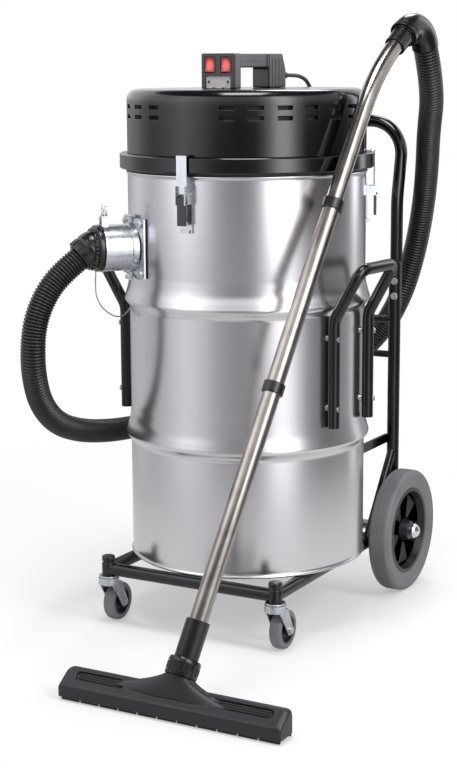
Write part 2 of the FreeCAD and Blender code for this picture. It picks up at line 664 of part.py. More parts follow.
def top_handle():
    """Switch block, grip and tail as one moulding, hollow behind the switches."""
    z0 = COVER_TOP + 0.2
    z1 = z0 + HANDLE_H
    ya = HANDLE_FRONT_Y
    yb = ya + HANDLE_BLOCK_LEN
    yc = yb + HANDLE_GAP_LEN
    yd = yc + HANDLE_TAIL_LEN
    block_side = [V(-HANDLE_W / 2, ya + 4, z0), V(-HANDLE_W / 2, ya + 4, z1 - 42), V(-HANDLE_W / 2, ya, z1 - 40),
                  V(-HANDLE_W / 2, ya, z1 - 4), V(-HANDLE_W / 2, ya + 4, z1), V(-HANDLE_W / 2, yb - 14, z1),
                  V(-HANDLE_W / 2, yb, z1 - 12), V(-HANDLE_W / 2, yb, z0)]
    block = Part.Face(Part.makePolygon(block_side + block_side[:1])).extrude(V(HANDLE_W, 0, 0))
    tail_side = [V(-HANDLE_W / 2 + 6, yc, z0), V(-HANDLE_W / 2 + 6, yc, z1 - 12), V(-HANDLE_W / 2 + 6, yc + 12, z1),
                 V(-HANDLE_W / 2 + 6, yd - 34, z1), V(-HANDLE_W / 2 + 6, yd - 6, z1 - 30),
                 V(-HANDLE_W / 2 + 6, yd, z0)]
    tail = Part.Face(Part.makePolygon(tail_side + tail_side[:1])).extrude(V(HANDLE_W - 12, 0, 0))
    grip = box(-GRIP_W / 2, GRIP_W / 2, yb - 20, yc + 20, z1 - GRIP_H, z1)
    strip = box(-GRIP_W / 2 - 4, GRIP_W / 2 + 4, yb - 5, yc + 5, z0, z0 + 6)
    body = block.fuse([tail, grip, strip])
    body = body.cut(box(-HANDLE_W / 2 + HANDLE_SKIN + 6, HANDLE_W / 2 - HANDLE_SKIN - 6, yc + HANDLE_SKIN,
                        yd - 34 - HANDLE_SKIN, z0 - 1, z1 - GRIP_H - HANDLE_SKIN))
    z_mid = z1 - 21
    for sx in (-1, 1):
        half_w = ROCKER_W / 2 + 0.6
        half_h = ROCKER_H / 2 + 0.6
        body = body.cut(box(sx * ROCKER_X - half_w, sx * ROCKER_X + half_w, ya - 1, ya + ROCKER_T + ROCKER_POCKET,
                            z_mid - half_h, z_mid + half_h))
    gland_z = z0 + 23
    body = body.cut(rod(V(0, yd - 22, gland_z), V(0, yd + 20, gland_z), GLAND_R - 2))
    panel = box(-PANEL_W / 2, PANEL_W / 2, ya + 4 - PANEL_T, ya + 4, z0 + 1, z0 + 1 + PANEL_H)
    gland = rod(V(0, yd - 20, gland_z), V(0, yd + 8, gland_z), GLAND_R - 2)
    gland = gland.fuse(Part.makeCone(GLAND_R, CABLE_R + 2, GLAND_LEN, V(0, yd + 1, gland_z), V(0, 1, 0)))
    exit_point = V(0, yd + 1 + GLAND_LEN, gland_z)
    gland = gland.cut(rod(V(0, yd - 22, gland_z), V(0, yd - 5, gland_z), CABLE_R))
    gland = gland.cut(body)
    parts["carry_handle"] = one(body)
    parts["switch_panel"] = panel
    parts["cable_gland"] = sorted(gland.Solids, key=lambda s: s.Volume)[-1]
    for name, sx in (("rocker_left", -1), ("rocker_right", 1)):
        x = sx * ROCKER_X
        flat = box(x - ROCKER_W / 2, x + ROCKER_W / 2, ya - 1.5, ya + ROCKER_T, z_mid - ROCKER_H / 2,
                   z_mid + ROCKER_H / 2)
        reach = ROCKER_H / 2
        barrel = rod(V(x - ROCKER_W / 2, ya + 2, z_mid), V(x + ROCKER_W / 2, ya + 2, z_mid), reach)
        notch = rod(V(x - 20, ya - 42, z_mid), V(x + 20, ya - 42, z_mid), 42.5)
        parts[name] = one(flat.common(barrel).cut(notch))
    return exit_point


def motors():
    plate_z = RING_Z0 + 8 + PLATE_T
    housings = []
    for name, sx in (("fan_rotor_left", -1), ("fan_rotor_right", 1)):
        x = sx * MOTOR_X
        outer = Part.makeCylinder(FAN_CASE_R, FAN_CASE_H, V(x, 0, plate_z + 0.2))
        can_z = plate_z + FAN_CASE_H
        outer = outer.fuse(Part.makeCylinder(MOTOR_CAN_R, MOTOR_CAN_H, V(x, 0, can_z)))
        hollow = Part.makeCylinder(FAN_CASE_R - CASE_WALL, FAN_CASE_H - 2 * CASE_WALL, V(x, 0, plate_z + CASE_WALL))
        can = Part.makeCylinder(MOTOR_CAN_R - CASE_WALL, MOTOR_CAN_H - 2 * CASE_WALL, V(x, 0, can_z + CASE_WALL))
        eye = Part.makeCylinder(26, CASE_WALL + 2, V(x, 0, plate_z - 1))
        bearing = Part.makeCylinder(SHAFT_R + RUN_CLEAR, FAN_CASE_H + MOTOR_CAN_H + 2, V(x, 0, plate_z + 2))
        housings.append(one(outer.cut(hollow.fuse([can, eye, bearing]))))
        shaft = Part.makeCylinder(SHAFT_R, FAN_CASE_H + MOTOR_CAN_H - 14, V(x, 0, plate_z + 10))
        fan = Part.makeCylinder(FAN_CASE_R - CASE_WALL - FREE_CLEAR, 14, V(x, 0, plate_z + 12))
        hub = Part.makeCone(22, SHAFT_R + 2, 8, V(x, 0, plate_z + 26))
        core = Part.makeCylinder(MOTOR_CAN_R - CASE_WALL - 12, MOTOR_CAN_H - 16, V(x, 0, can_z + 8))
        parts[name] = one(shaft.fuse([fan, hub, core]))
    parts["motor_housings"] = group(housings)


def inner_parts():
    z = RIM_TOP
    seal_r0 = DRUM_R - DRUM_WALL - 4
    parts["drum_seal"] = revolve([(seal_r0, z + 0.1), (DRUM_R + 3, z + 0.1), (DRUM_R + 3, z + SEAL_T - 0.1),
                                  (seal_r0, z + SEAL_T - 0.1)])
    top = z - 10
    low = top - BAG_DEPTH
    bag = revolve([(BAG_TOP_R, top), (BAG_LOW_R, low), (0, low), (0, low + BAG_T),
                   (BAG_LOW_R - BAG_T, low + BAG_T), (BAG_TOP_R - BAG_T, top)])
    wall_in = DRUM_R - DRUM_WALL
    hoop = revolve([(BAG_TOP_R - BAG_T, top + 0.2), (wall_in - 0.5, top + 0.2),
                    (wall_in - 0.5, top + 5), (BAG_TOP_R - BAG_T, top + 5)])
    parts["filter_bag"] = group([bag, hoop])


# ------------------------------------------------------------------ latches
def latches():
    """Three over-centre latches: a base with two ears, a lever, and a strap with a hook over the ring."""
    bases = []
    u = LATCH_PIVOT_U
    z = LATCH_PIVOT_Z
    lever_half = LEVER_W / 2
    cheek_in = lever_half + LATCH_SIDE_GAP
    cheek_out = cheek_in + STRAP_T
    ear_in = cheek_out + LATCH_SIDE_GAP
    ear_out = ear_in + EAR_T
    wall = DRUM_R + 0.3
    hook_u = u + LATCH_HOOK_DU
    hook_z = z + LATCH_HOOK_DZ
    for deg, name in zip(LATCH_DEGS, LATCH_NAMES):
        foot = box(wall, wall + 3, -ear_out, ear_out, z - 62, z + 12)
        foot = foot.cut(Part.makeCylinder(wall, 100, V(0, 0, z - 70)))
        ears = [box(wall, u + 5, s * (ear_in + ear_out) / 2 - EAR_T / 2, s * (ear_in + ear_out) / 2 + EAR_T / 2,
                    z - 9, z + 9) for s in (-1, 1)]
        toe = box(wall, wall + 8, -lever_half, lever_half, z - 62, z - 56)
        pin = rod(V(u, -ear_out - 1, z), V(u, ear_out + 1, z), LATCH_PIN_R)
        base = foot.fuse(ears + [toe, pin])
        base = base.cut(Part.makeCylinder(DRUM_R + 0.15, 100, V(0, 0, z - 70)))
        bases.append(outward(one(base), deg))
        knuckle = rod(V(u, -lever_half, z), V(u, lever_half, z), 5)
        arm_u = u + 5
        arm = box(arm_u - LEVER_T / 2, arm_u + LEVER_T / 2, -lever_half, lever_half, z - LEVER_LEN, z + 2)
        link = box(u - 2, hook_u + 3, -lever_half, lever_half, hook_z - 3, z + 3)
        axle = rod(V(hook_u, -cheek_out, hook_z), V(hook_u, cheek_out, hook_z), LATCH_PIN_R)
        lever = knuckle.fuse([arm, link]).fuse(axle)
        lever = lever.cut(rod(V(u, -30, z), V(u, 30, z), LATCH_PIN_R + RUN_CLEAR))
        parts["latch_lever_" + name] = outward(one(lever), deg)
        strap_u = RING_R + 1.5
        cheeks = [box(hook_u - 4, hook_u + 4, min(s * cheek_in, s * cheek_out), max(s * cheek_in, s * cheek_out),
                      hook_z - 4, z + 24) for s in (-1, 1)]
        bridge = box(strap_u, strap_u + STRAP_T, -cheek_out, cheek_out, z + 10, RING_Z1 + 3.8)
        lip = box(DRUM_R + 9, strap_u + STRAP_T, -cheek_out, cheek_out, RING_Z1 + 2, RING_Z1 + 3.8)
        strap = bridge.fuse(cheeks + [lip])
        strap = strap.cut(rod(V(hook_u, -30, hook_z), V(hook_u, 30, hook_z), LATCH_PIN_R + RUN_CLEAR))
        parts["latch_hook_" + name] = outward(one(strap), deg)
    parts["latch_bases"] = group(bases)


# ------------------------------------------------------------------ trolley
def base_frame():
    z = RAIL_Z
    bore = TUBE_R - TUBE_WALL
    socket_axis = V(RAIL_X, RAIL_FRONT_Y, 0)
    socket = pipe(socket_axis + UP * (z - TUBE_R), socket_axis + UP * (SOCKET_TOP - 6), SOCKET_R, 9.5)
    cap = rod(socket_axis + UP * (SOCKET_TOP - 6), socket_axis + UP * SOCKET_TOP, SOCKET_R)
    solid_socket = rod(socket_axis + UP * (z - 40), socket_axis + UP * (z + 60), SOCKET_R)
    parts["caster_sockets"] = both_sides(one(socket.fuse(cap)))
    corner = V(RAIL_X, UPRIGHT_Y, z)
    points = [V(RAIL_X, RAIL_FRONT_Y, z), corner, V(RAIL_X, UPRIGHT_Y, UPRIGHT_TOP)]
    side = bent_tube(points, (UPRIGHT_BEND_R,), TUBE_R, bore)
    split = box(RAIL_X - 50, RAIL_X + 50, RAIL_FRONT_Y - 50, UPRIGHT_Y - UPRIGHT_BEND_R, z - 50, z + 50)
    rail = side.common(split).cut(solid_socket)
    upright = side.cut(split)
    front = pipe(V(-RAIL_X, RAIL_FRONT_Y, z), V(RAIL_X, RAIL_FRONT_Y, z), TUBE_R, bore)
    rear = pipe(V(-RAIL_X, REAR_TUBE_Y, z), V(RAIL_X, REAR_TUBE_Y, z), TUBE_R, bore)
    rail_line = rod(V(RAIL_X, RAIL_FRONT_Y, z), V(RAIL_X, UPRIGHT_Y, z), TUBE_R)
    rear = rear.cut(both_sides(rail_line))
    front = front.cut(both_sides(solid_socket.fuse(rail_line)))
    axle_hole = rod(V(-300, REAR_AXLE_Y, AXLE_Z), V(300, REAR_AXLE_Y, AXLE_Z), REAR_AXLE_R)
    brace_top = V(RAIL_X, UPRIGHT_Y, BRACE_TOP_Z)
    brace_foot = V(RAIL_X, BRACE_FOOT_Y, z)
    brace = rod(brace_foot, brace_top, BRACE_R)
    upright_solid = bent_tube(points, (UPRIGHT_BEND_R,), TUBE_R)
    rear_line = rod(V(-RAIL_X, REAR_TUBE_Y, z), V(RAIL_X, REAR_TUBE_Y, z), TUBE_R)
    brace = brace.cut(upright_solid).cut(axle_hole).cut(rear_line)
    parts["base_cross_tubes"] = group([one(front), one(rear)])
    parts["base_rails"] = both_sides(one(rail.cut(axle_hole)))
    parts["uprights"] = both_sides(one(upright.cut(axle_hole)))
    parts["frame_braces"] = both_sides(sorted(brace.Solids, key=lambda s: s.Volume)[-1])
    bars = []
    upright_pair = both_sides(rod(V(RAIL_X, UPRIGHT_Y, 150), V(RAIL_X, UPRIGHT_Y, UPRIGHT_TOP + 10), TUBE_R))
    for bar_z in BACK_BAR_Z:
        bar = rod(V(-RAIL_X, UPRIGHT_Y, bar_z), V(RAIL_X, UPRIGHT_Y, bar_z), BACK_BAR_R)
        bars.append(one(bar.cut(upright_pair)))
    cradle_r = DRUM_R + 3.5
    ring = Part.makeCylinder(cradle_r + CRADLE_T, CRADLE_H, V(0, 0, CRADLE_Z - CRADLE_H / 2))
    ring = ring.cut(Part.makeCylinder(cradle_r, CRADLE_H, V(0, 0, CRADLE_Z - CRADLE_H / 2)))
    band = ring.common(box(-RAIL_X + 4, RAIL_X - 4, 0, 300, 0, 900))
    link_y = math.sqrt(cradle_r ** 2 - (RAIL_X - 14) ** 2)
    link = box(RAIL_X - 18, RAIL_X - 12, link_y - 2, UPRIGHT_Y, CRADLE_Z - CRADLE_H / 2, CRADLE_Z + CRADLE_H / 2)
    band = band.fuse([link, mirrored(link)]).cut(Part.makeCylinder(cradle_r, 900)).cut(upright_pair)
    bars.append(one(band))
    parts["back_bars"] = group(bars)


def push_handle():
    x0 = RAIL_X - PUSH_INSET
    reach = 2 * TUBE_R + PUSH_GAP
    y0 = UPRIGHT_Y + math.sqrt(reach ** 2 - PUSH_INSET ** 2)
    points = [V(-x0, y0, PUSH_FOOT_Z), V(-x0, y0, PUSH_KNEE_Z), V(-x0, PUSH_TOP_Y, PUSH_TOP_Z),
              V(x0, PUSH_TOP_Y, PUSH_TOP_Z), V(x0, y0, PUSH_KNEE_Z), V(x0, y0, PUSH_FOOT_Z)]
    handle = bent_tube(points, (150, PUSH_CORNER_R, PUSH_CORNER_R, 150), TUBE_R, TUBE_R - TUBE_WALL)
    bolts = []
    for side in (-1, 1):
        across = (V(side * x0, y0, 0) - V(side * RAIL_X, UPRIGHT_Y, 0)).normalize()
        for z in CLAMP_BOLT_Z:
            seat = V(side * RAIL_X, UPRIGHT_Y, z) - across * TUBE_R
            bolts.append(bolt(seat, across, reach + 2 * TUBE_R + 4))
    uprights = parts["uprights"]
    for clamp in bolts:
        handle = handle.cut(clamp)
        uprights = uprights.cut(clamp)
    parts["push_handle"] = one(handle)
    parts["uprights"] = group(uprights.Solids)
    return bolts


def rear_wheels():
    y = REAR_AXLE_Y
    z = AXLE_Z
    x1 = REAR_FACE_X
    x0 = x1 - REAR_WHEEL_W
    out = V(1, 0, 0)
    centre = V(0, y, z)
    axle = rod(centre - out * (x1 + 6), centre + out * (x1 + 6), REAR_AXLE_R)
    cap = Part.makeSphere(HUB_BOSS_R - 2, V(x1 - 4, y, z)).common(rod(V(x1 + 6, y, z), V(x1 + 40, y, z), 30))
    parts["rear_axle"] = axle
    parts["axle_caps"] = both_sides(cap)
    tyre_profile = [(HUB_R, x0 + 6), (HUB_R + 12, x0 + 2), (REAR_WHEEL_R - 9, x0), (REAR_WHEEL_R, x0 + 9),
                    (REAR_WHEEL_R, x1 - 9), (REAR_WHEEL_R - 9, x1), (HUB_R + 12, x1 - 2), (HUB_R, x1 - 6)]
    tyre = revolve(tyre_profile, centre, out)
    mid = (x0 + x1) / 2
    web = HUB_WEB_T / 2
    hub_profile = [(REAR_AXLE_R + RUN_CLEAR, x0 + 3), (HUB_BOSS_R, x0 + 3), (HUB_BOSS_R + 4, mid - web),
                   (HUB_R - 12, mid - web), (HUB_R - 7, x0 + 5), (HUB_R - 0.05, x0 + 5), (HUB_R - 0.05, x1 - 5),
                   (HUB_R - 7, x1 - 5), (HUB_R - 12, mid + web), (HUB_BOSS_R + 4, mid + web),
                   (HUB_BOSS_R, x1 - 3), (REAR_AXLE_R + RUN_CLEAR, x1 - 3)]
    hub = revolve(hub_profile, centre, out)
    for k in range(SPOKES):
        a0 = math.radians(90 + 360 / SPOKES * (k + 0.5))
        wedge = []
        for r, spread in ((HUB_BOSS_R + 8, 7), (HUB_R - 15, 19), (HUB_R - 15, -19), (HUB_BOSS_R + 8, -7)):
            a = a0 + math.radians(spread)
            wedge.append(V(x0 - 5, y + r * math.cos(a), z + r * math.sin(a)))
        window = Part.Face(Part.makePolygon(wedge + wedge[:1])).extrude(out * (REAR_WHEEL_W + 10))
        hub = hub.cut(window)
    hub = one(hub)
    for side in ("left", "right"):
        turn = mirrored if side == "left" else (lambda s: s)
        parts["rear_tyre_" + side] = turn(tyre)
        parts["rear_hub_" + side] = turn(hub)


def casters():
    stems = []
    for side, sx in (("left", -1), ("right", 1)):
        pivot = V(sx * RAIL_X, RAIL_FRONT_Y, 0)
        axle_c = pivot + V(0, CASTER_TRAIL, CASTER_R)
        race_z = RAIL_Z - TUBE_R
        fork_top = CASTER_R * 2 + 8
        stem = rod(pivot + UP * (fork_top - 4), pivot + UP * (SOCKET_TOP - 8), CASTER_STEM_R)
        race = rod(pivot + UP * (race_z - 3.5), pivot + UP * race_z, 19)
        nut = rod(pivot + UP * (fork_top - 7), pivot + UP * (fork_top - 3.2), 9)
        stems.append(one(stem.fuse([race, nut])))
        inner = CASTER_W / 2 + FORK_GAP
        outer = inner + FORK_T
        x = sx * RAIL_X
        y = RAIL_FRONT_Y
        plate = rod(pivot + UP * (fork_top - 2.8), pivot + UP * (race_z - 3.8), 20)
        crown = box(x - outer, x + outer, y - 12, y + 20, fork_top - 2.8, fork_top)
        legs = []
        for s in (-1, 1):
            xa = x + min(s * inner, s * outer)
            side_points = [V(xa, y - 12, fork_top), V(xa, y + 20, fork_top), V(xa, axle_c.y + 11, CASTER_R + 2),
                           V(xa, axle_c.y + 6, CASTER_R - 9), V(xa, axle_c.y - 6, CASTER_R - 9),
                           V(xa, axle_c.y - 14, CASTER_R + 2)]
            legs.append(Part.Face(Part.makePolygon(side_points + side_points[:1])).extrude(V(FORK_T, 0, 0)))
        pin = rod(axle_c - V(outer + 3, 0, 0), axle_c + V(outer + 3, 0, 0), CASTER_AXLE_R)
        heads = [rod(axle_c + V(s * outer, 0, 0), axle_c + V(s * (outer + 3.5), 0, 0), 7) for s in (-1, 1)]
        fork = plate.fuse([crown] + legs + heads + [pin])
        fork = fork.cut(rod(pivot + UP * 60, pivot + UP * 100, CASTER_STEM_R + RUN_CLEAR))
        parts["caster_fork_" + side] = one(fork)
        half = CASTER_W / 2
        out = V(1, 0, 0)
        tyre = revolve([(CASTER_HUB_R, -half), (CASTER_R - 4, -half), (CASTER_R, -half + 5), (CASTER_R, half - 5),
                        (CASTER_R - 4, half), (CASTER_HUB_R, half)], axle_c, out)
        bore = CASTER_AXLE_R + RUN_CLEAR
        hub_r = CASTER_HUB_R - 0.05
        hub = revolve([(bore, -half), (9, -half), (10, -4), (hub_r - 4, -4), (hub_r - 3, -half + 1),
                       (hub_r, -half + 1), (hub_r, half - 1), (hub_r - 3, half - 1), (hub_r - 4, 4), (10, 4),
                       (9, half), (bore, half)], axle_c, out)
        parts["caster_tyre_" + side] = tyre
        parts["caster_hub_" + side] = hub
    parts["caster_stems"] = group(stems)


# ------------------------------------------------------------------ cords
def hose_points(start, lean, exit_point, down):
    """From the inlet cuff down the left side, round behind the uprights and up to the elbow."""
    return [start,
            start + lean * 46,
            V(-262.3, -312.6, 648.5),
            V(-275, -328, 599),
            V(-279, -332, 545),
            V(-285, -320, 490),
            V(-294, -287, 434),
            V(-300, -228, 386),
            V(-300, -146, 356),
            V(-297, -50, 338),
            V(-292, 46, 329),
            V(-286, 142, 324),
            V(-270, 238, 325),
            V(-230, 328, 334),
            V(-150, 386, 356),
            V(-54, 408, 392),
            V(36, 414, 444),
            V(106, 412, 511),
            V(154, 408, 594),
            V(183, 404, 686),
            V(207, 386, 778),
            V(231, 346, 862),
            V(255, 292, 938),
            exit_point + down * 85,
            exit_point]


def cable_points(exit_point):
    """From the gland over the back of the head and down behind the drum to the coil on the floor."""
    return [exit_point,
            V(0, 195, 1052.5),
            V(0, 229, 1050),
            V(0, 261, 1040),
            V(1, 283, 1012),
            V(0, 288, 962),
            V(-3, 277, 880),
            V(-2, 270, 780),
            V(-6, 272, 672),
            V(-3, 269, 562),
            V(-7, 271, 452),
            V(-4, 269, 346),
            V(-8, 271, 246),
            V(-7, 276, 170),
            V(-4, 286, 112),
            V(3, 304, 66),
            V(13, 329, 31),
            V(22, 356, 11),
            V(27, 378, 4.6),
            V(28, 396, 4.3)]


def coil_and_plug():
    """The rest of the cable as one closed ring on the floor, and a three-pin plug that lies on it."""
    centre = V(COIL_X, COIL_Y, 0)
    r0 = COIL_MEAN_R - COIL_W / 2
    r1 = COIL_MEAN_R + COIL_W / 2
    ring = revolve([(r0, 5), (r0 + 5, 0.1), (r1, 0.1), (r1, COIL_H - 6), (r1 - 6, COIL_H), (r0 + 6, COIL_H),
                    (r0, COIL_H - 6)], centre)
    x = COIL_X - COIL_MEAN_R
    y1 = COIL_Y - 10
    y0 = y1 - PLUG_LEN
    z0 = COIL_H
    corners = [V(x - PLUG_W / 2 + 8, y1, z0), V(x + PLUG_W / 2 - 8, y1, z0), V(x + PLUG_W / 2, y1 - 14, z0),
               V(x + PLUG_W / 2, y0 + 4, z0), V(x + PLUG_W / 2 - 4, y0, z0), V(x - PLUG_W / 2 + 4, y0, z0),
               V(x - PLUG_W / 2, y0 + 4, z0), V(x - PLUG_W / 2, y1 - 14, z0)]
    body = Part.Face(Part.makePolygon(corners + corners[:1])).extrude(V(0, 0, PLUG_H))
    relief = Part.makeCone(8, CABLE_R + 1.5, PLUG_RELIEF, V(x, y1 - 0.5, z0 + PLUG_H / 2), V(0, 1, 0))
    top = z0 + PLUG_H
    pins = [box(x - 2, x + 2, y0 + 9, y0 + 17, top - 1, top + 22.7)]
    for side in (-1, 1):
        pin_x = x + side * 11.1
        pins.append(box(pin_x - 3.2, pin_x + 3.2, y0 + 33, y0 + 37, top - 1, top + 17.7))
    plug = body.fuse([relief] + pins)
    parts["cable_coil"] = ring
    parts["plug"] = one(plug)
    print("plug entry", V(x, y1 - 0.5 + PLUG_RELIEF, z0 + PLUG_H / 2), "coil", centre, r0, r1)


def tether_points():
    """Loose wire from the underside of the cuff's flange to an eyelet on the drum."""
    return [V(-197.3, -235.0, 693),
            V(-198, -237.5, 668),
            V(-197.5, -234.5, 640),
            V(-193.5, -219, 618),
            V(-188.5, -194, 602),
            V(-184.5, -171, 597),
            V(-180.5, -154, 604),
            V(-177.3, -146.6, 613)]


def build():
    studs = drum_group()
    inlet_bolts = inlet()
    parts["hose_cuff"] = hose_cuff()
    exit_point, down = wand()
    floor_head()
    parts["head_base"] = head_base()
    parts["head_cover"] = head_cover()
    gland_exit = top_handle()
    motors()
    inner_parts()
    latches()
    base_frame()
    clamp_bolts = push_handle()
    parts["tube_bolts"] = group(studs + clamp_bolts + inlet_bolts)
    rear_wheels()
    casters()
    n, knuckle, lean = cuff_frame()
    hose_start = knuckle + lean * CUFF_LEN
    parts["hose"] = cord_tube("hose", hose_points(hose_start, lean, exit_point, down), HOSE_R, 3 * 2 * HOSE_R)
    parts["mains_cable"] = cord_tube("mains_cable", cable_points(gland_exit), CABLE_R, 5 * 2 * CABLE_R)
    parts["tether_wire"] = cord_tube("tether_wire", tether_points(), TETHER_R, 3 * 2 * TETHER_R)
    coil_and_plug()
    print("gland exit", gland_exit, "elbow exit", exit_point, "hose start", hose_start, "lean", lean)


def write_parts():
    os.makedirs("parts", exist_ok=True)
    own = [s.BoundBox for name, s in parts.items() if name not in cord_names]
    x_mid = (min(b.XMin for b in own) + max(b.XMax for b in own)) / 2
    y_mid = (min(b.YMin for b in own) + max(b.YMax for b in own)) / 2
    for name, shape in parts.items():
        placed = shape.copy()
        placed.translate(V(-x_mid, -y_mid, 0))
        placed.exportStep("parts/" + name + ".step")
        ok = all(s.isValid() for s in placed.Solids)
        print(name, "solids", len(placed.Solids), "valid", ok, "volume", round(placed.Volume / 1000, 1))
    print("origin moved by", -x_mid, -y_mid)


build()
write_parts()
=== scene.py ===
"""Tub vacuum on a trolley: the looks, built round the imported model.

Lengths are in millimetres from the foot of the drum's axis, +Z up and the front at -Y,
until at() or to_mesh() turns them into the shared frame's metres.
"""

import json
import math

import bmesh
import bpy
from mathutils import Matrix, Vector

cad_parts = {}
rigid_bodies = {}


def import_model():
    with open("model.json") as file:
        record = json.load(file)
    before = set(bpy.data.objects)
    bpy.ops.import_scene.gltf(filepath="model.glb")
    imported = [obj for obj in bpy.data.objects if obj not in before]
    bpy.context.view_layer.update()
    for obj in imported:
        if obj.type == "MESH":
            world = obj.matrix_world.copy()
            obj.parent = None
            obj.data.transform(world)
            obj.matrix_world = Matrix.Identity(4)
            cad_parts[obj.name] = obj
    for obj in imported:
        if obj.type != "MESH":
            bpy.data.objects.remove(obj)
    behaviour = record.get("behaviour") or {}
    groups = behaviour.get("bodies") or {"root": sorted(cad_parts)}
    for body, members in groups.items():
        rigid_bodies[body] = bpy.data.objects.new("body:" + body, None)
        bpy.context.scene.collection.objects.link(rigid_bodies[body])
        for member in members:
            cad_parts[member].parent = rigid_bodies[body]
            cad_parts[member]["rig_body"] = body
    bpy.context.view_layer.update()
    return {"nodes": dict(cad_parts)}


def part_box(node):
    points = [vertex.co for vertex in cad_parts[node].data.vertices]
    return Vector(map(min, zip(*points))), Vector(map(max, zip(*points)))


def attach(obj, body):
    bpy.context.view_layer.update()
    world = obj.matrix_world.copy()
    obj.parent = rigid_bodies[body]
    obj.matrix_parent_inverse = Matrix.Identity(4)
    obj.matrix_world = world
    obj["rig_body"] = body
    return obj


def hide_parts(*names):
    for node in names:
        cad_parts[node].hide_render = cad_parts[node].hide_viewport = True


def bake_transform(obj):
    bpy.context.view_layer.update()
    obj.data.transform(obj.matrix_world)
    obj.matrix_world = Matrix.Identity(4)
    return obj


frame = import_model()
nodes = frame["nodes"]

MM = 0.001
UP = Vector((0, 0, 1))
shell_low, shell_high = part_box("drum_shell")
CENTRE = Vector(((shell_low.x + shell_high.x) / 2, (shell_low.y + shell_high.y) / 2, 0.0))


def at(x, y, z):
    """A point in millimetres from the foot of the drum's axis, in the shared frame."""
    return CENTRE + Vector((x, y, z)) * MM


def extent(node):
    """Lowest and highest corners of a CAD node, in millimetres from the foot of the drum's axis."""
    low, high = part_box(node)
    return (low - CENTRE) / MM, (high - CENTRE) / MM


def radial(deg):
    """Unit vector on the floor plane, deg from the front towards +X."""
    angle = math.radians(deg)
    return Vector((math.sin(angle), -math.cos(angle), 0))


# ------------------------------------------------------------------ main sizes, from the frame
DRUM_WALL = 1.5
BEAD_PROUD = 9.1
RIM_BEAD_R = 2.6
COVER_WALL = 3.0
GLAND_R = 9.0
TUBE_R = 12.5
drum_low, drum_high = extent("drum_shell")
DRUM_R = (drum_high.x - drum_low.x) / 2 - BEAD_PROUD
DRUM_TOP = drum_high.z
DRUM_FLOOR_Z = drum_low.z + 14.0
BEAD_HEIGHTS = (366.6, 630.5)
cover_low, cover_high = extent("head_cover")
handle_low, handle_high = extent("carry_handle")
INLET_OUT = radial(-40.0)
INLET_Z = 735.0
SPIGOT_R = 44.0
SPIGOT_END = 298.0
CUFF_DROOP = math.radians(36.0)
CUFF_LEAN = INLET_OUT * math.cos(CUFF_DROOP) - UP * math.sin(CUFF_DROOP)
INLET_MOUTH = Vector((0, 0, INLET_Z)) + INLET_OUT * SPIGOT_END
KNUCKLE = INLET_MOUTH + INLET_OUT * 16.0
WAND_FOOT = Vector((184.2, -544.7, 110.0))
WAND_REST = Vector((251.2, -87.7, 893.0))
WAND_AXIS = (WAND_REST - WAND_FOOT).normalized()

# ------------------------------------------------------------------ camera
CAMERA_AT = (1566.7, -2882.9, 1072.6)
CAMERA_TURN = math.radians(29.179)
CAMERA_DROP = math.radians(10.69)
CAMERA_ROLL = math.radians(-0.30)
CAMERA_LENS = 79.15


def make_camera():
    """A long lens, level with the head, from the front and a little to the right."""
    forward = Vector((-math.sin(CAMERA_TURN) * math.cos(CAMERA_DROP),
                      math.cos(CAMERA_TURN) * math.cos(CAMERA_DROP), -math.sin(CAMERA_DROP)))
    right = Vector((math.cos(CAMERA_TURN), math.sin(CAMERA_TURN), 0))
    upward = right.cross(forward)
    side = math.cos(CAMERA_ROLL) * right + math.sin(CAMERA_ROLL) * upward
    upward = math.cos(CAMERA_ROLL) * upward - math.sin(CAMERA_ROLL) * right
    lens = bpy.data.cameras.new("camera")
    lens.sensor_width = 36.0
    lens.lens = CAMERA_LENS
    camera = bpy.data.objects.new("camera", lens)
    turned = Matrix((side, upward, -forward)).transposed().to_4x4()
    camera.matrix_world = Matrix.Translation(at(*CAMERA_AT)) @ turned
    bpy.context.scene.collection.objects.link(camera)
    bpy.context.scene.camera = camera


make_camera()
bpy.context.scene.view_settings.view_transform = "Standard"


# ------------------------------------------------------------------ node and material helpers
def linear(hex_colour):
    """An sRGB hex colour as linear light."""
    channels = [int(hex_colour[i:i + 2], 16) / 255 for i in (1, 3, 5)]
    return tuple(c / 12.92 if c <= 0.04045 else ((c + 0.055) / 1.055) ** 2.4 for c in channels) + (1.0,)


def add(tree, kind, inputs=None, **attributes):
    """A node with its settings; each input is a value, or (node, output) for a link."""
    node = tree.nodes.new(kind)
    for key, value in attributes.items():
        setattr(node, key, value)
    for key, value in (inputs or {}).items():
        if isinstance(value, tuple) and isinstance(value[0], bpy.types.Node):
            tree.links.new(value[0].outputs[value[1]], node.inputs[key])
        else:
            node.inputs[key].default_value = value
    return node


def new_finish(name, colour, roughness, metallic=0.0, ior=1.5, **shader_values):
    """A material with its even values set on the shader; returns material, tree and shader."""
    material = bpy.data.materials.new(name)
    material.use_nodes = True
    tree = material.node_tree
    shader = tree.nodes["Principled BSDF"]
    shader.inputs["Base Color"].default_value = linear(colour)
    shader.inputs["Roughness"].default_value = roughness
    shader.inputs["Metallic"].default_value = metallic
    shader.inputs["IOR"].default_value = ior
    for key, value in shader_values.items():
        shader.inputs[key.replace("_", " ").title()].default_value = value
    material.diffuse_color = linear(colour)
    return material, tree, shader


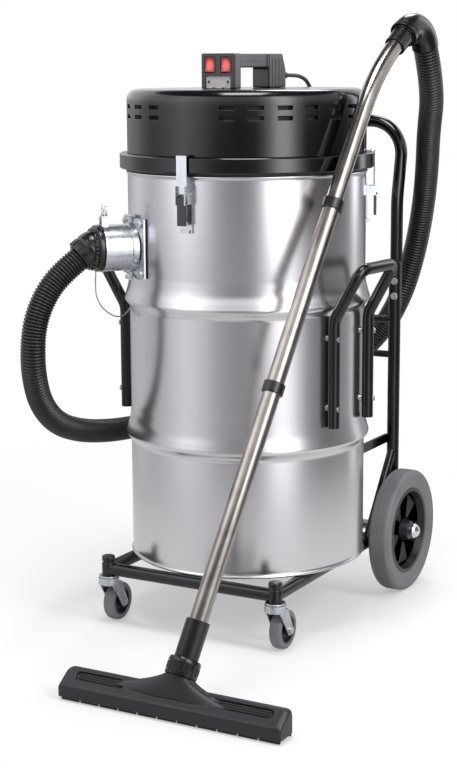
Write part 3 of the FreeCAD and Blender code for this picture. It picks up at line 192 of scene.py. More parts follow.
def blotches(tree, shader, size, low, high, colours=None):
    """Roughness that wanders between low and high over size millimetres, and the colour with it."""
    place = add(tree, "ShaderNodeTexCoord")
    cloud = add(tree, "ShaderNodeTexNoise", {"Vector": (place, "Object"), "Scale": 1 / (size * MM),
                                             "Detail": 4.0})
    spread = add(tree, "ShaderNodeMapRange", {"Value": (cloud, "Fac"), "From Min": 0.3, "From Max": 0.7,
                                             "To Min": low, "To Max": high})
    tree.links.new(spread.outputs["Result"], shader.inputs["Roughness"])
    if colours:
        ramp = add(tree, "ShaderNodeValToRGB", {"Fac": (cloud, "Fac")})
        for stop, where, colour in zip(ramp.color_ramp.elements, (0.35, 0.65), colours):
            stop.position = where
            stop.color = linear(colour)
        tree.links.new(ramp.outputs["Color"], shader.inputs["Base Color"])


def bumps(tree, shader, texture, height):
    """Turns a texture's value into bumps height millimetres tall."""
    bump = add(tree, "ShaderNodeBump", {"Height": (texture, "Fac"), "Distance": height * MM, "Strength": 1.0})
    tree.links.new(bump.outputs["Normal"], shader.inputs["Normal"])


def grained(tree, shader, size, height):
    """Fine bumps size millimetres apart and height millimetres tall."""
    place = add(tree, "ShaderNodeTexCoord")
    grain = add(tree, "ShaderNodeTexNoise", {"Vector": (place, "Object"), "Scale": 1 / (size * MM),
                                             "Detail": 2.0})
    bumps(tree, shader, grain, height)


def moulded(name, colour, roughness, grain, height, pale, **shader_values):
    """Moulded plastic or rubber: even colour, grain millimetres apart, gloss that wanders a little."""
    material, tree, shader = new_finish(name, colour, roughness, **shader_values)
    blotches(tree, shader, 55.0, roughness * 0.85, roughness * 1.15, (colour, pale))
    grained(tree, shader, grain, height)
    return material


# ------------------------------------------------------------------ materials
def satin_stainless_sheet():
    """Rolled stainless sheet with a satin brushed face: its lines run round the drum and draw
    every reflection out upwards. The 0.3 mm lines are drawn 0.8 mm apart, so that they show."""
    material, tree, shader = new_finish("satin_stainless_sheet", "#D2D0D3", 0.24, 1.0)
    uv = add(tree, "ShaderNodeUVMap", uv_map="turn")
    scale = Vector((1 / (420.0 * MM), 1 / (0.8 * MM), 1.0))
    lines = add(tree, "ShaderNodeMapping", {"Vector": (uv, "UV"), "Scale": scale})
    brush = add(tree, "ShaderNodeTexNoise", {"Vector": (lines, "Vector"), "Scale": 1.0, "Detail": 3.0})
    spread = add(tree, "ShaderNodeMapRange", {"Value": (brush, "Fac"), "From Min": 0.3, "From Max": 0.7,
                                             "To Min": 0.225, "To Max": 0.265})
    tree.links.new(spread.outputs["Result"], shader.inputs["Roughness"])
    ramp = add(tree, "ShaderNodeValToRGB", {"Fac": (brush, "Fac")})
    ramp.color_ramp.elements[0].color = linear("#CFCDD1")
    ramp.color_ramp.elements[1].color = linear("#D6D4D8")
    tree.links.new(ramp.outputs["Color"], shader.inputs["Base Color"])
    bumps(tree, shader, brush, 0.0004)
    return material


def polished_stainless_tube():
    """Drawn stainless tube, polished: warm grey, with a faint even grain."""
    material, tree, shader = new_finish("polished_stainless_tube", "#9C9591", 0.18, 1.0)
    blotches(tree, shader, 30.0, 0.16, 0.23, ("#958E89", "#A39D99"))
    grained(tree, shader, 9.0, 0.01)
    return material


def zinc_plated_steel():
    """Bright zinc plating on pressed steel: bluish, a little cloudy, with a soft satin gloss."""
    material, tree, shader = new_finish("zinc_plated_steel", "#BFC4CA", 0.26, 1.0)
    blotches(tree, shader, 16.0, 0.24, 0.32, ("#BABEC4", "#C8CCD1"))
    grained(tree, shader, 6.0, 0.004)
    return material


def turned_steel():
    """Turned bright steel: neutral grey with the lathe's fine rings worn smooth."""
    material, tree, shader = new_finish("turned_steel", "#A9A9AB", 0.3, 1.0)
    blotches(tree, shader, 12.0, 0.24, 0.38, ("#9B9B9E", "#B7B7B9"))
    return material


def chrome_plate():
    """Chrome plate over polished steel: the brightest metal here, clear reflections."""
    material, tree, shader = new_finish("chrome_plate", "#DADDE0", 0.07, 1.0)
    blotches(tree, shader, 10.0, 0.05, 0.12)
    return material


def turned_brass():
    """Turned brass bush, left bare: yellow, slightly dulled."""
    material, tree, shader = new_finish("turned_brass", "#C8A458", 0.28, 1.0)
    blotches(tree, shader, 6.0, 0.22, 0.4, ("#B8924A", "#D6B36A"))
    return material


def powder_coated_tube():
    """Gloss black powder coat on steel tube: the skin flows into low waves like orange peel."""
    material, tree, shader = new_finish("powder_coated_tube", "#090A0D", 0.14)
    blotches(tree, shader, 40.0, 0.11, 0.18, ("#08090C", "#0D0E13"))
    grained(tree, shader, 4.0, 0.02)
    return material


def painted_glow_rocker():
    """Translucent red polycarbonate rocker over a neon lamp, with a painted glow: an emission, brightest in
    the middle of the key, paints on the light of a lit key.
    """
    low, high = extent("rocker_left")
    middle = at(0, 0, (low.z + high.z) / 2)
    side = abs(low.x + high.x) / 2 * MM
    material, tree, shader = new_finish("painted_glow_rocker", "#8E1812", 0.22, ior=1.58)
    place = add(tree, "ShaderNodeTexCoord")
    centred = add(tree, "ShaderNodeMapping", {"Vector": (place, "Object"), "Location": -middle})
    parts = add(tree, "ShaderNodeSeparateXYZ", {"Vector": (centred, "Vector")})
    across = add(tree, "ShaderNodeMath", {0: (parts, "X")}, operation="ABSOLUTE")
    across = add(tree, "ShaderNodeMath", {0: (across, 0), 1: side}, operation="SUBTRACT")
    upward = add(tree, "ShaderNodeMath", {0: (parts, "Z"), 1: 0.72}, operation="MULTIPLY")
    spot = add(tree, "ShaderNodeCombineXYZ", {"X": (across, 0), "Z": (upward, 0)})
    reach = add(tree, "ShaderNodeVectorMath", {0: (spot, 0)}, operation="LENGTH")
    # painted glow: emission strongest at each key's middle, fading to its edges
    glow = add(tree, "ShaderNodeMapRange", {"Value": (reach, "Value"), "From Min": 0.002, "From Max": 0.0105,
                                           "To Min": 0.9, "To Max": 0.06}, interpolation_type="SMOOTHSTEP")
    tree.links.new(glow.outputs["Result"], shader.inputs["Emission Strength"])
    shader.inputs["Emission Color"].default_value = linear("#FF5A4A")
    return material


def printed_label_plate():
    """Anodised aluminium plate, grey, with a fine brushed grain; drawn 1.5 mm apart to show."""
    material, tree, shader = new_finish("printed_label_plate", "#C4BEC0", 0.42, 0.1)
    blotches(tree, shader, 14.0, 0.36, 0.5, ("#BBB5B7", "#CCC6C8"))
    grained(tree, shader, 1.5, 0.01)
    return material


def filter_felt():
    """Needled polyester felt: warm off-white, soft fibres a few millimetres long, fully matt."""
    material, tree, shader = new_finish("filter_felt", "#CFC7B4", 0.95, sheen_weight=0.3)
    blotches(tree, shader, 25.0, 0.9, 1.0, ("#C2B9A4", "#DAD3C2"))
    grained(tree, shader, 2.2, 0.25)
    return material


def cast_aluminium():
    """Die-cast aluminium motor casing: mid grey with the pebbled skin of the die."""
    material, tree, shader = new_finish("cast_aluminium", "#8F9092", 0.5, 0.9)
    blotches(tree, shader, 20.0, 0.42, 0.6, ("#838486", "#9C9D9F"))
    grained(tree, shader, 2.0, 0.06)
    return material


def woven_web():
    """Hook-and-loop strap of black nylon: plain weave 1.6 mm across, matt with a soft sheen."""
    material, tree, shader = new_finish("woven_web", "#1B1B1E", 0.85, sheen_weight=0.25)
    place = add(tree, "ShaderNodeTexCoord")
    weave = add(tree, "ShaderNodeTexWave", {"Vector": (place, "Object"), "Scale": 1 / (1.6 * MM) / 6.3,
                                           "Distortion": 0.4}, bands_direction="DIAGONAL")
    bumps(tree, shader, weave, 0.2)
    blotches(tree, shader, 12.0, 0.8, 0.95, ("#18181B", "#26262A"))
    return material


FINISHES = {
    "drum_steel": satin_stainless_sheet(),
    "wand_steel": polished_stainless_tube(),
    "zinc_plate": zinc_plated_steel(),
    "axle_steel": turned_steel(),
    "chrome_cap": chrome_plate(),
    "brass": turned_brass(),
    "frame_black": powder_coated_tube(),
    # red rocker keys with a painted glow
    "rocker_red": painted_glow_rocker(),
    "label_grey": printed_label_plate(),
    "filter_cloth": filter_felt(),
    "motor_case": cast_aluminium(),
    "web": woven_web(),
    # glossy acrylonitrile styrene, polished mould: near black with clear soft highlights
    "lid_black": moulded("gloss_black_abs", "#06070B", 0.16, 9.0, 0.004, "#090A0F", ior=1.52),
    # the same plastic from a spark-finished mould: satin
    "handle_black": moulded("satin_black_abs", "#0D0E14", 0.26, 1.6, 0.012, "#13141B"),
    # soft polyethylene cuffs and collars: low gloss, faint flow lines
    "cuff_black": moulded("black_polyethylene", "#0A0B0F", 0.26, 3.0, 0.01, "#0F1015"),
    # blow-moulded ribbed hose: polyethylene with a waxy gloss
    "hose_black": moulded("ribbed_polyethylene", "#08090E", 0.36, 2.4, 0.015, "#0D0E14"),
    # glass-filled polypropylene floor head: blue-grey black with a fine sandy grain
    "head_tool_black": moulded("filled_polypropylene", "#15161C", 0.4, 1.4, 0.02, "#1A1B22"),
    # nitrile rubber seals and blades: matt
    "rubber_black": moulded("nitrile_rubber", "#131315", 0.6, 1.5, 0.03, "#1C1C1E"),
    # natural nylon teeth of the floor head: milky, smooth
    "nylon": moulded("natural_nylon", "#D9D7D0", 0.4, 2.0, 0.01, "#E4E2DC"),
    # flexible cable sheath: soft vinyl, low gloss
    "cable_black": moulded("vinyl_sheath", "#111114", 0.42, 2.0, 0.02, "#18181B"),
    # solid grey rubber treads: matt, chalky where they have run
    "tyre_grey": moulded("grey_tread_rubber", "#706F73", 0.6, 1.8, 0.03, "#7C7B7E"),
    # glass-filled nylon wheel centres: dark, slightly glossy
    "hub_dark": moulded("filled_nylon", "#15161B", 0.36, 1.6, 0.02, "#1E1F25"),
    # black lacquer on the pressed lever
    "lever_black": moulded("black_lacquer", "#111216", 0.24, 3.0, 0.01, "#191A1F", ior=1.6),
    # machined aluminium fan and shaft
    "rotor_steel": turned_steel(),
    # stranded wire, bare
    "tether_steel": turned_steel(),
}


# ------------------------------------------------------------------ mesh helpers
def shade(mesh, sharp_deg):
    """Smooth faces, with edges sharper than sharp_deg left crisp."""
    mesh.shade_smooth()
    mesh.set_sharp_from_angle(angle=math.radians(sharp_deg))


def link(name, mesh):
    """A mesh as an object in the scene."""
    obj = bpy.data.objects.new(name, mesh)
    bpy.context.scene.collection.objects.link(obj)
    return obj


def settle(obj, finish, body, replaced=()):
    """Gives a piece its material, body, replaced nodes and slot."""
    obj.data.materials.clear()
    obj.data.materials.append(FINISHES[finish])
    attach(obj, body)
    if replaced:
        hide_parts(*replaced)
    return obj


def from_bmesh(name, bm, sharp_deg):
    """A bmesh in metres as an object."""
    mesh = bpy.data.meshes.new(name)
    bm.to_mesh(mesh)
    bm.free()
    shade(mesh, sharp_deg)
    return link(name, mesh)


def to_mesh(name, bm, sharp_deg=35.0):
    """A bmesh in millimetres as an object in the shared frame, its faces turned outwards."""
    bmesh.ops.recalc_face_normals(bm, faces=bm.faces)
    bm.transform(Matrix.Translation(CENTRE) @ Matrix.Scale(MM, 4))
    return from_bmesh(name, bm, sharp_deg)


def bevelled(obj, width):
    """Rounds an object's edges by width millimetres."""
    bevel = obj.modifiers.new("rounded_edges", "BEVEL")
    bevel.width = width * MM
    bevel.segments = 2
    bevel.limit_method = "ANGLE"
    bevel.angle_limit = math.radians(30.0)
    bevel.harden_normals = True
    return obj


def baked(obj, sharp_deg=None):
    """Replaces an object's mesh by its evaluated one and removes its modifiers."""
    graph = bpy.context.evaluated_depsgraph_get()
    mesh = bpy.data.meshes.new_from_object(obj.evaluated_get(graph), preserve_all_data_layers=True,
                                           depsgraph=graph)
    obj.modifiers.clear()
    obj.data = mesh
    if sharp_deg:
        shade(mesh, sharp_deg)
    return obj


def thickened(obj, wall, offset, sharp_deg):
    """Gives a sheet a wall in millimetres: inwards at offset -1, outwards at 1, both ways at 0."""
    solid = obj.modifiers.new("wall", "SOLIDIFY")
    solid.thickness = wall * MM
    solid.offset = offset
    return baked(obj, sharp_deg)


def carve(obj, cutter, sharp_deg=None):
    """Cuts one object out of another, and removes it."""
    cut = obj.modifiers.new("cut", "BOOLEAN")
    cut.operation = "DIFFERENCE"
    cut.object = cutter
    baked(obj, sharp_deg)
    bpy.data.objects.remove(cutter)


def one_skin(obj, voxel, rounds):
    """Joins overlapping solids under one soft skin, drawn voxel millimetres fine."""
    skin = obj.modifiers.new("one_skin", "REMESH")
    skin.mode = "VOXEL"
    skin.voxel_size = voxel * MM
    soften = obj.modifiers.new("soften", "SMOOTH")
    soften.factor = 0.5
    soften.iterations = rounds
    baked(obj)


def slab(bm, corner, sides):
    """A block from one corner along three side vectors."""
    corner = Vector(corner)
    a, b, c = [Vector(s) for s in sides]
    verts = [bm.verts.new(corner + a * i + b * j + c * k) for i in (0, 1) for j in (0, 1) for k in (0, 1)]
    for face in ((0, 1, 3, 2), (4, 6, 7, 5), (0, 4, 5, 1), (2, 3, 7, 6), (0, 2, 6, 4), (1, 5, 7, 3)):
        bm.faces.new([verts[i] for i in face])


def block(bm, corner, size):
    """An upright block from one corner."""
    slab(bm, corner, ((size[0], 0, 0), (0, size[1], 0), (0, 0, size[2])))


def loft(bm, rings, caps=True):
    """Faces between rings of vertices, one after another, and a face at each end."""
    for low, high in zip(rings, rings[1:]):
        for k in range(len(low)):
            n = (k + 1) % len(low)
            bm.faces.new((low[k], low[n], high[n], high[k]))
    if caps:
        bm.faces.new(rings[0][::-1])
        bm.faces.new(rings[-1])


def round_xy(k, count):
    """Cosine and sine of the k-th of count even steps round a circle."""
    angle = math.tau * k / count
    return math.cos(angle), math.sin(angle)


def lathe(bm, outline, segments, base=(0, 0, 0), axis=UP):
    """Turns a closed outline of (radius, height) about axis, and writes a UV map in metres, "turn"."""
    uv = bm.loops.layers.uv.get("turn") or bm.loops.layers.uv.new("turn")
    facing = UP.rotation_difference(Vector(axis))
    base = Vector(base)
    widest = max(r for r, h in outline)
    rings = []
    travelled = []
    gone = 0.0
    for i, (r, h) in enumerate(outline):
        if i:
            gone += math.hypot(r - outline[i - 1][0], h - outline[i - 1][1])
        travelled.append(gone * MM)
        count = 1 if r < 1e-6 else segments
        around = [round_xy(k, segments) for k in range(count)]
        rings.append([bm.verts.new(base + facing @ Vector((r * x, r * y, h))) for x, y in around])
    for i in range(len(outline)):
        j = (i + 1) % len(outline)
        ends = (travelled[i], travelled[j] if j else gone * MM)
        if len(rings[i]) == 1 and len(rings[j]) == 1:
            continue
        for k in range(segments):
            corners = []
            for ring, step, height in ((i, k, 0), (i, k + 1, 0), (j, k + 1, 1), (j, k, 1)):
                vert = rings[ring][step % len(rings[ring])]
                if vert not in [c[0] for c in corners]:
                    corners.append((vert, step, ends[height]))
            face = bm.faces.new([c[0] for c in corners])
            for loop, (vert, step, height) in zip(face.loops, corners):
                loop[uv].uv = (math.tau * step / segments * widest * MM, height)


def turned_piece(name, outlines, finish, body, replaced=(), segments=96, sharp=35.0):
    """One object of one or more lathed solids, each (outline, base, axis)."""
    bm = bmesh.new()
    for outline, base, axis in outlines:
        lathe(bm, outline, segments, base, axis)
    return settle(to_mesh(name, bm, sharp), finish, body, replaced)


def arc_points(centre, radius, start, stop, steps):
    """Points of an arc in an outline, angles in degrees."""
    return [(centre[0] + radius * math.cos(math.radians(start + (stop - start) * i / steps)),
             centre[1] + radius * math.sin(math.radians(start + (stop - start) * i / steps)))
            for i in range(steps + 1)]


def smooth_outline(knots, steps):
    """A soft curve through knots of (radius, height), with upright ends."""
    points = []
    for i in range(len(knots) - 1):
        before = knots[max(i - 1, 0)]
        a, b = knots[i], knots[i + 1]
        after = knots[min(i + 2, len(knots) - 1)]
        for s in range(steps):
            t = s / steps
            pull_a = [(b[k] - before[k]) / 2 for k in (0, 1)]
            pull_b = [(after[k] - a[k]) / 2 for k in (0, 1)]
            points.append(tuple(a[k] * (2 * t ** 3 - 3 * t ** 2 + 1) + pull_a[k] * (t ** 3 - 2 * t ** 2 + t)
                                + b[k] * (3 * t ** 2 - 2 * t ** 3) + pull_b[k] * (t ** 3 - t ** 2)
                                for k in (0, 1)))
    return points + [knots[-1]]


def sweep(name, path, radius_at, sides, sharp_deg):
    """A capped round skin along a path in metres; radius_at gives millimetres for a station's number."""
    bm = bmesh.new()
    uv = bm.loops.layers.uv.new("turn")
    tangent = (path[1] - path[0]).normalized()
    across = tangent.orthogonal().normalized()
    rings = []
    gone = 0.0
    travelled = []
    for i, point in enumerate(path):
        ahead = (path[min(i + 1, len(path) - 1)] - path[max(i - 1, 0)]).normalized()
        across = tangent.rotation_difference(ahead) @ across
        tangent = ahead
        gone += (point - path[i - 1]).length if i else 0.0
        travelled.append(gone)
        other = tangent.cross(across)
        r = radius_at(i) * MM
        around = [round_xy(k, sides) for k in range(sides)]
        rings.append([bm.verts.new(point + (across * x + other * y) * r) for x, y in around])
    for i in range(len(path) - 1):
        for k in range(sides):
            n = (k + 1) % sides
            face = bm.faces.new((rings[i][k], rings[i][n], rings[i + 1][n], rings[i + 1][k]))
            for loop, (u, v) in zip(face.loops, ((k, i), (k + 1, i), (k + 1, i + 1), (k, i + 1))):
                loop[uv].uv = (u / sides * math.tau * radius_at(i) * MM, travelled[v])
    bm.faces.new(rings[0][::-1])
    bm.faces.new(rings[-1])
    return from_bmesh(name, bm, sharp_deg)


def spline_points(name, route, resolution):
    """The smooth line that a cord takes through its route, read back from a NURBS spline."""
    curve = bpy.data.curves.new(name, "CURVE")
    curve.dimensions = "3D"
    curve.resolution_u = resolution
    spline = curve.splines.new("NURBS")
    spline.points.add(len(route) - 1)
    for point, place in zip(spline.points, route):
        point.co = (*at(*place), 1.0)
    spline.order_u = 3
    spline.use_endpoint_u = True
    spline.resolution_u = resolution
    holder = link(name, curve)
    mesh = bpy.data.meshes.new_from_object(holder)
    points = [v.co.copy() for v in mesh.vertices]
    bpy.data.objects.remove(holder)
    bpy.data.curves.remove(curve)
    bpy.data.meshes.remove(mesh)
    return points


def stations(points, spacing):
    """Points along a spline's own points, one after each spacing of the repeating list, in metres."""
    placed = [points[0].copy()]
    wanted = spacing[0]
    turn = 0
    gone = 0.0
    for a, b in zip(points, points[1:]):
        step = (b - a).length
        while step and gone + step >= wanted:
            placed.append(a.lerp(b, (wanted - gone) / step))
            turn += 1
            wanted += spacing[turn % len(spacing)]
        gone += step
    return placed + [points[-1].copy()]


# ------------------------------------------------------------------ cords
HOSE_ROUTE = [(-217.436, -259.130, 717.366), (-241.36, -287.64, 690.33), (-262.3, -312.6, 648.5),
              (-275, -328, 599), (-279, -332, 545), (-285, -320, 490), (-294, -287, 434),
              (-300, -228, 386), (-300, -146, 356), (-297, -50, 338), (-292, 46, 329),
              (-286, 142, 324), (-270, 238, 325), (-230, 328, 334), (-150, 386, 356),
              (-54, 408, 392), (36, 414, 444), (106, 412, 511), (154, 408, 594), (183, 404, 686),
              (207, 386, 778), (231, 346, 862), (255, 292, 938), (295.5, 214.7, 1024.9),
              (290.914, 183.184, 1103.698)]
RIB_PITCH = 6.0
# one rib of the hose: how far along it, and its radius there
RIB_SHAPE = ((0.0, 21.4), (0.2, 22.7), (0.36, 23.9), (0.64, 23.9), (0.8, 22.7))


def make_hose():
    """The ribbed suction hose, from the inlet cuff round the back to the wand's elbow."""
    line = spline_points("hose_line", HOSE_ROUTE, 24)
    steps = [RIB_SHAPE[i + 1][0] - RIB_SHAPE[i][0] for i in range(len(RIB_SHAPE) - 1)]
    steps = [s * RIB_PITCH * MM for s in steps + [1.0 - RIB_SHAPE[-1][0]]]
    path = stations(line, steps)
    hose = sweep("suction_hose", path, lambda i: RIB_SHAPE[i % len(RIB_SHAPE)][1], 28, 80.0)
    settle(hose, "hose_black", "root", ["hose"])


CABLE_D = 8.0
CABLE_ROUTE = [(0, 163, 1052.5), (0, 195, 1052.5), (0, 229, 1050), (0, 261, 1040), (1, 283, 1012),
               (0, 288, 962), (-3, 277, 880), (-2, 270, 780), (-6, 272, 672), (-3, 269, 562),
               (-7, 271, 452), (-4, 269, 346), (-8, 271, 246), (-7, 276, 170), (-4, 286, 112),
               (3, 304, 66), (13, 329, 31), (22, 356, 11), (27, 378, 4.6), (28, 396, 4.3)]
COIL_AT = (-52.0, 396.0)
COIL_OUTER_R = 80.0
COIL_INNER_R = 47.2
COIL_LAYER = 7.93
COIL_LAYERS = 5
TURNS_A_LAYER = 4
STEPS_A_TURN = 12
PLUG_ENTRY_Z = 53.5


def coil_route():
    """Turns of the stored cable: in and out by turns in five layers, and up to the plug."""
    control = 1 / math.cos(math.pi / STEPS_A_TURN)
    points = []
    turn = 0.0
    z = CABLE_ROUTE[-1][2] - 0.1

    def place(r, height):
        angle = math.tau * turn
        points.append((COIL_AT[0] + r * control * math.cos(angle),
                       COIL_AT[1] + r * control * math.sin(angle), height))

    step = 1 / STEPS_A_TURN
    span = TURNS_A_LAYER * STEPS_A_TURN
    for layer in range(COIL_LAYERS):
        ends = (COIL_OUTER_R, COIL_INNER_R) if layer % 2 == 0 else (COIL_INNER_R, COIL_OUTER_R)
        for i in range(span):
            turn += step
            place(ends[0] + (ends[1] - ends[0]) * (i + 1) / span, z)
        if layer < COIL_LAYERS - 1:
            for i in range(3):
                turn += step
                place(ends[1], z + COIL_LAYER * (i + 1) / 3)
            z += COIL_LAYER
    rise = 6
    for i in range(rise):
        turn += step
        share = (i + 1) / rise
        place(COIL_INNER_R - 1 + 17.8 * share ** 2, z + (PLUG_ENTRY_Z - z) * min(1.0, share * 1.25))
    return points


def make_mains_cable():
    """The mains cable: over the head, down behind the drum, and round its coil to the plug."""
    last_x, last_y = COIL_AT[0] - 64.0, 405.5
    into_plug = [(last_x, last_y + 14, PLUG_ENTRY_Z), (last_x, last_y, PLUG_ENTRY_Z)]
    line = spline_points("cable_line", CABLE_ROUTE + coil_route()[:-1] + into_plug, 5)
    lead = sweep("mains_lead", line, lambda i: CABLE_D / 2 - 0.05, 12, 60.0)
    lead.data.materials.append(FINISHES["cable_black"])
    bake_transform(lead)
    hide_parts("mains_cable", "cable_coil")
    return lead, line


def make_coil_tie():
    """The hook-and-loop strap round the coil, next to the plug."""
    bm = bmesh.new()
    low_r, high_r = 42.2, 85.4
    loop = []
    for centre, start in (((high_r - 7, 7.2), -90), ((high_r - 7, 34.8), 0), ((low_r + 7, 34.8), 90),
                          ((low_r + 7, 7.2), 180)):
        loop += arc_points(centre, 7.0, start, start + 90, 6)
    width = 16.0
    away = Vector((math.sin(0.35), -math.cos(0.35), 0))
    side = Vector((-away.y, away.x, 0))
    foot = Vector((*COIL_AT, 0.2))
    loft(bm, [[bm.verts.new(foot + away * r + UP * z + side * s) for r, z in loop]
              for s in (-width / 2, width / 2)], caps=False)
    tie = thickened(to_mesh("coil_tie", bm, 50.0), 1.2, 0.0, 50.0)
    return settle(tie, "web", "root")


TETHER_ROUTE = [(-197.3, -235, 693), (-198, -237.5, 668), (-197.5, -234.5, 640), (-193.5, -219, 618),
                (-188.5, -194, 602), (-184.5, -171, 597), (-180.5, -154, 604), (-177.3, -146.6, 613)]
TETHER_D = 2.5


def make_tether():
    """The thin wire that keeps the cuff with the drum."""
    line = spline_points("tether_line", TETHER_ROUTE, 12)
    wire = sweep("cuff_tether", line, lambda i: TETHER_D / 2, 10, 60.0)
    settle(wire, "tether_steel", "root", ["tether_wire"])


make_hose()
mains_lead, mains_line = make_mains_cable()
coil_tie = make_coil_tie()
make_tether()


# ------------------------------------------------------------------ pieces finished from the CAD shapes
def refined(node, finish, width):
    """A smooth copy of a CAD node, its edges rounded by width millimetres, which stands for it."""
    source = nodes[node]
    bm = bmesh.new()
    bm.from_mesh(source.data)
    bmesh.ops.remove_doubles(bm, verts=bm.verts, dist=0.02 * MM)
    bmesh.ops.dissolve_limit(bm, angle_limit=math.radians(0.4), verts=bm.verts, edges=bm.edges)
    for layer in bm.loops.layers.float_vector.values():
        bm.loops.layers.float_vector.remove(layer)
    mesh = bpy.data.meshes.new(node + "_finished")
    bm.to_mesh(mesh)
    bm.free()
    for name in ("custom_normal", "sharp_edge", "sharp_face"):
        if name in mesh.attributes:
            mesh.attributes.remove(mesh.attributes[name])
    shade(mesh, 30.0)
    slot = source.data.materials[0].name.split(".")[0]
    obj = settle(link(node + "_finished", mesh), finish or slot, source["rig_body"], [node])
    return bevelled(obj, width)


ROUNDED = {
    "head_base": 1.0, "inlet_spigot": 0.5, "inlet_gasket": 0.4, "lock_bracket": 0.5,
    "lock_screw": 0.8, "tube_bolts": 0.7, "wand_collars": 1.0, "wand_bent_tube": 0.3,
    "wand_straight_tubes": 0.3, "hose_elbow": 0.8, "floor_cuff": 1.2, "base_cross_tubes": 0.4,
    "base_rails": 0.4, "uprights": 0.4, "frame_braces": 0.4, "back_bars": 0.8, "push_handle": 0.4,
    "drum_handles": 0.4, "rocker_left": 1.0, "rocker_right": 1.0, "latch_bases": 0.4,
    "motor_housings": 1.2, "fan_rotor_left": 0.8, "fan_rotor_right": 0.8, "rear_axle": 1.0,
    "rear_hub_left": 1.2, "rear_hub_right": 1.2, "caster_stems": 1.0, "caster_fork_left": 0.7,
    "caster_fork_right": 0.7, "caster_hub_left": 0.8, "caster_hub_right": 0.8, "drum_seal": 0.8,
    "plug": 2.0,
}
for latch in ("front", "left", "right"):
    ROUNDED["latch_lever_" + latch] = 1.0
    ROUNDED["latch_hook_" + latch] = 0.4
# the screw's plating is brighter than its slot's
OTHER_FINISH = {"lock_screw": "chrome_cap"}
finished = {node: refined(node, OTHER_FINISH.get(node), width) for node, width in ROUNDED.items()}


# ------------------------------------------------------------------ drum
def drum_side(inset):
    """The drum wall's outline from low to high, with its two swaged beads."""
    r = DRUM_R - inset
    points = []
    for z in BEAD_HEIGHTS:
        swell = ((0.0, -16.0), (0.35, -11.0), (1.0, -2.0), (0.8, 8.0), (0.22, 28.0), (0.0, 50.0))
        bead = smooth_outline([(r + share * BEAD_PROUD, z + dz) for share, dz in swell], 5)
        points += [(r, z - 22)] + bead + [(r, z + 56)]
    return points


def make_drum():
    """Rolled drum with a folded foot, two beads, a rolled rim and the inlet's hole."""
    foot = drum_low.z
    inside = DRUM_R - DRUM_WALL
    outline = [(0, DRUM_FLOOR_Z - 3), (60, DRUM_FLOOR_Z - 2.4), (inside - 8, DRUM_FLOOR_Z),
               (inside, DRUM_FLOOR_Z - 2), (inside, foot + 5)]
    outline += arc_points((DRUM_R, foot + RIM_BEAD_R), RIM_BEAD_R, -160, 60, 10)
    outline += [(DRUM_R, foot + 6.5), (DRUM_R, foot + 10)] + drum_side(0.0)
    outline += [(DRUM_R, DRUM_TOP - 10), (DRUM_R, DRUM_TOP - 7)]
    outline += arc_points((DRUM_R, DRUM_TOP - RIM_BEAD_R), RIM_BEAD_R, -60, 160, 10)
    outline += [(inside, DRUM_TOP - 6)] + drum_side(DRUM_WALL)[::-1]
    outline += [(inside, DRUM_FLOOR_Z + 8), (inside - 8, DRUM_FLOOR_Z + 1.5), (60, DRUM_FLOOR_Z - 1.0),
                (0, DRUM_FLOOR_Z - 1.5)]
    bm = bmesh.new()
    lathe(bm, outline, 224)
    drum = to_mesh("stainless_drum", bm, 40.0)
    bm = bmesh.new()
    bore = SPIGOT_R - 2
    lathe(bm, [(0, 200), (bore, 200), (bore, 262), (0, 262)], 64, (0, 0, INLET_Z), INLET_OUT)
    carve(drum, to_mesh("inlet_bore", bm), 40.0)
    settle(drum, "drum_steel", "root", ["drum_shell"])


make_drum()


# ------------------------------------------------------------------ head
VENT_FIRST, VENT_PITCH, VENT_HALF = 19.3, 13.4, 3.49
VENTS_A_SIDE = 9
COLUMN_WIDTH = 3.2
VENT_ROWS = (50.5, 32.0)
VENT_H = 7.5
COVER_EDGE_R = 20.0


def cover_angles():
    """Where each of the cover's columns starts, in degrees, and whether it holds a vent."""
    centres = sorted(side * (VENT_FIRST + k * VENT_PITCH) for side in (-1, 1) for k in range(VENTS_A_SIDE))
    here = -180.0
    columns = []
    for centre in centres + [180.0 + VENT_HALF]:
        gap = centre - VENT_HALF - here
        fills = max(1, round(gap / COLUMN_WIDTH))
        columns += [(here + gap * i / fills, False) for i in range(fills)]
        if centre < 180.0:
            columns += [(centre - VENT_HALF, True), (centre, True)]
        here = centre + VENT_HALF
    return columns


def make_cover():
    """The glossy cover: a deep lid with a soft top edge and two rows of air slots on each side."""
    top = cover_high.z
    r = DRUM_R
    rows = [cover_low.z, cover_low.z + 26, cover_low.z + 48]
    slots = []
    for drop in VENT_ROWS:
        slots.append(len(rows))
        rows += [top - drop - VENT_H / 2, top - drop + VENT_H / 2]
    outline = [(r, z) for z in rows + [top - COVER_EDGE_R]]
    outline += arc_points((r - COVER_EDGE_R, top - COVER_EDGE_R), COVER_EDGE_R, 10, 90, 8)
    outline += [(170, top), (110, top), (50, top)]
    columns = cover_angles()
    bm = bmesh.new()
    rings = [[bm.verts.new(radial(a) * rr + UP * z) for a, vent in columns] for rr, z in outline]
    for i in range(len(outline) - 1):
        for k, (a, vent) in enumerate(columns):
            n = (k + 1) % len(columns)
            if not (vent and i in slots):
                bm.faces.new((rings[i][k], rings[i][n], rings[i + 1][n], rings[i + 1][k]))
    bm.faces.new(rings[-1])
    cover = thickened(to_mesh("vented_cover", bm, 40.0), COVER_WALL, -1.0, 40.0)
    settle(cover, "lid_black", "head", ["head_cover"])
    bevelled(cover, 0.7)


make_cover()
# foam sleeve behind the air slots
sleeve_r = DRUM_R - COVER_WALL - 9
sleeve = [(sleeve_r - 3, cover_low.z + 20), (sleeve_r, cover_low.z + 20), (sleeve_r, cover_high.z - 24),
          (sleeve_r - 3, cover_high.z - 24)]
turned_piece("slot_sleeve", [(sleeve, (0, 0, 0), UP)], "rubber_black", "head")


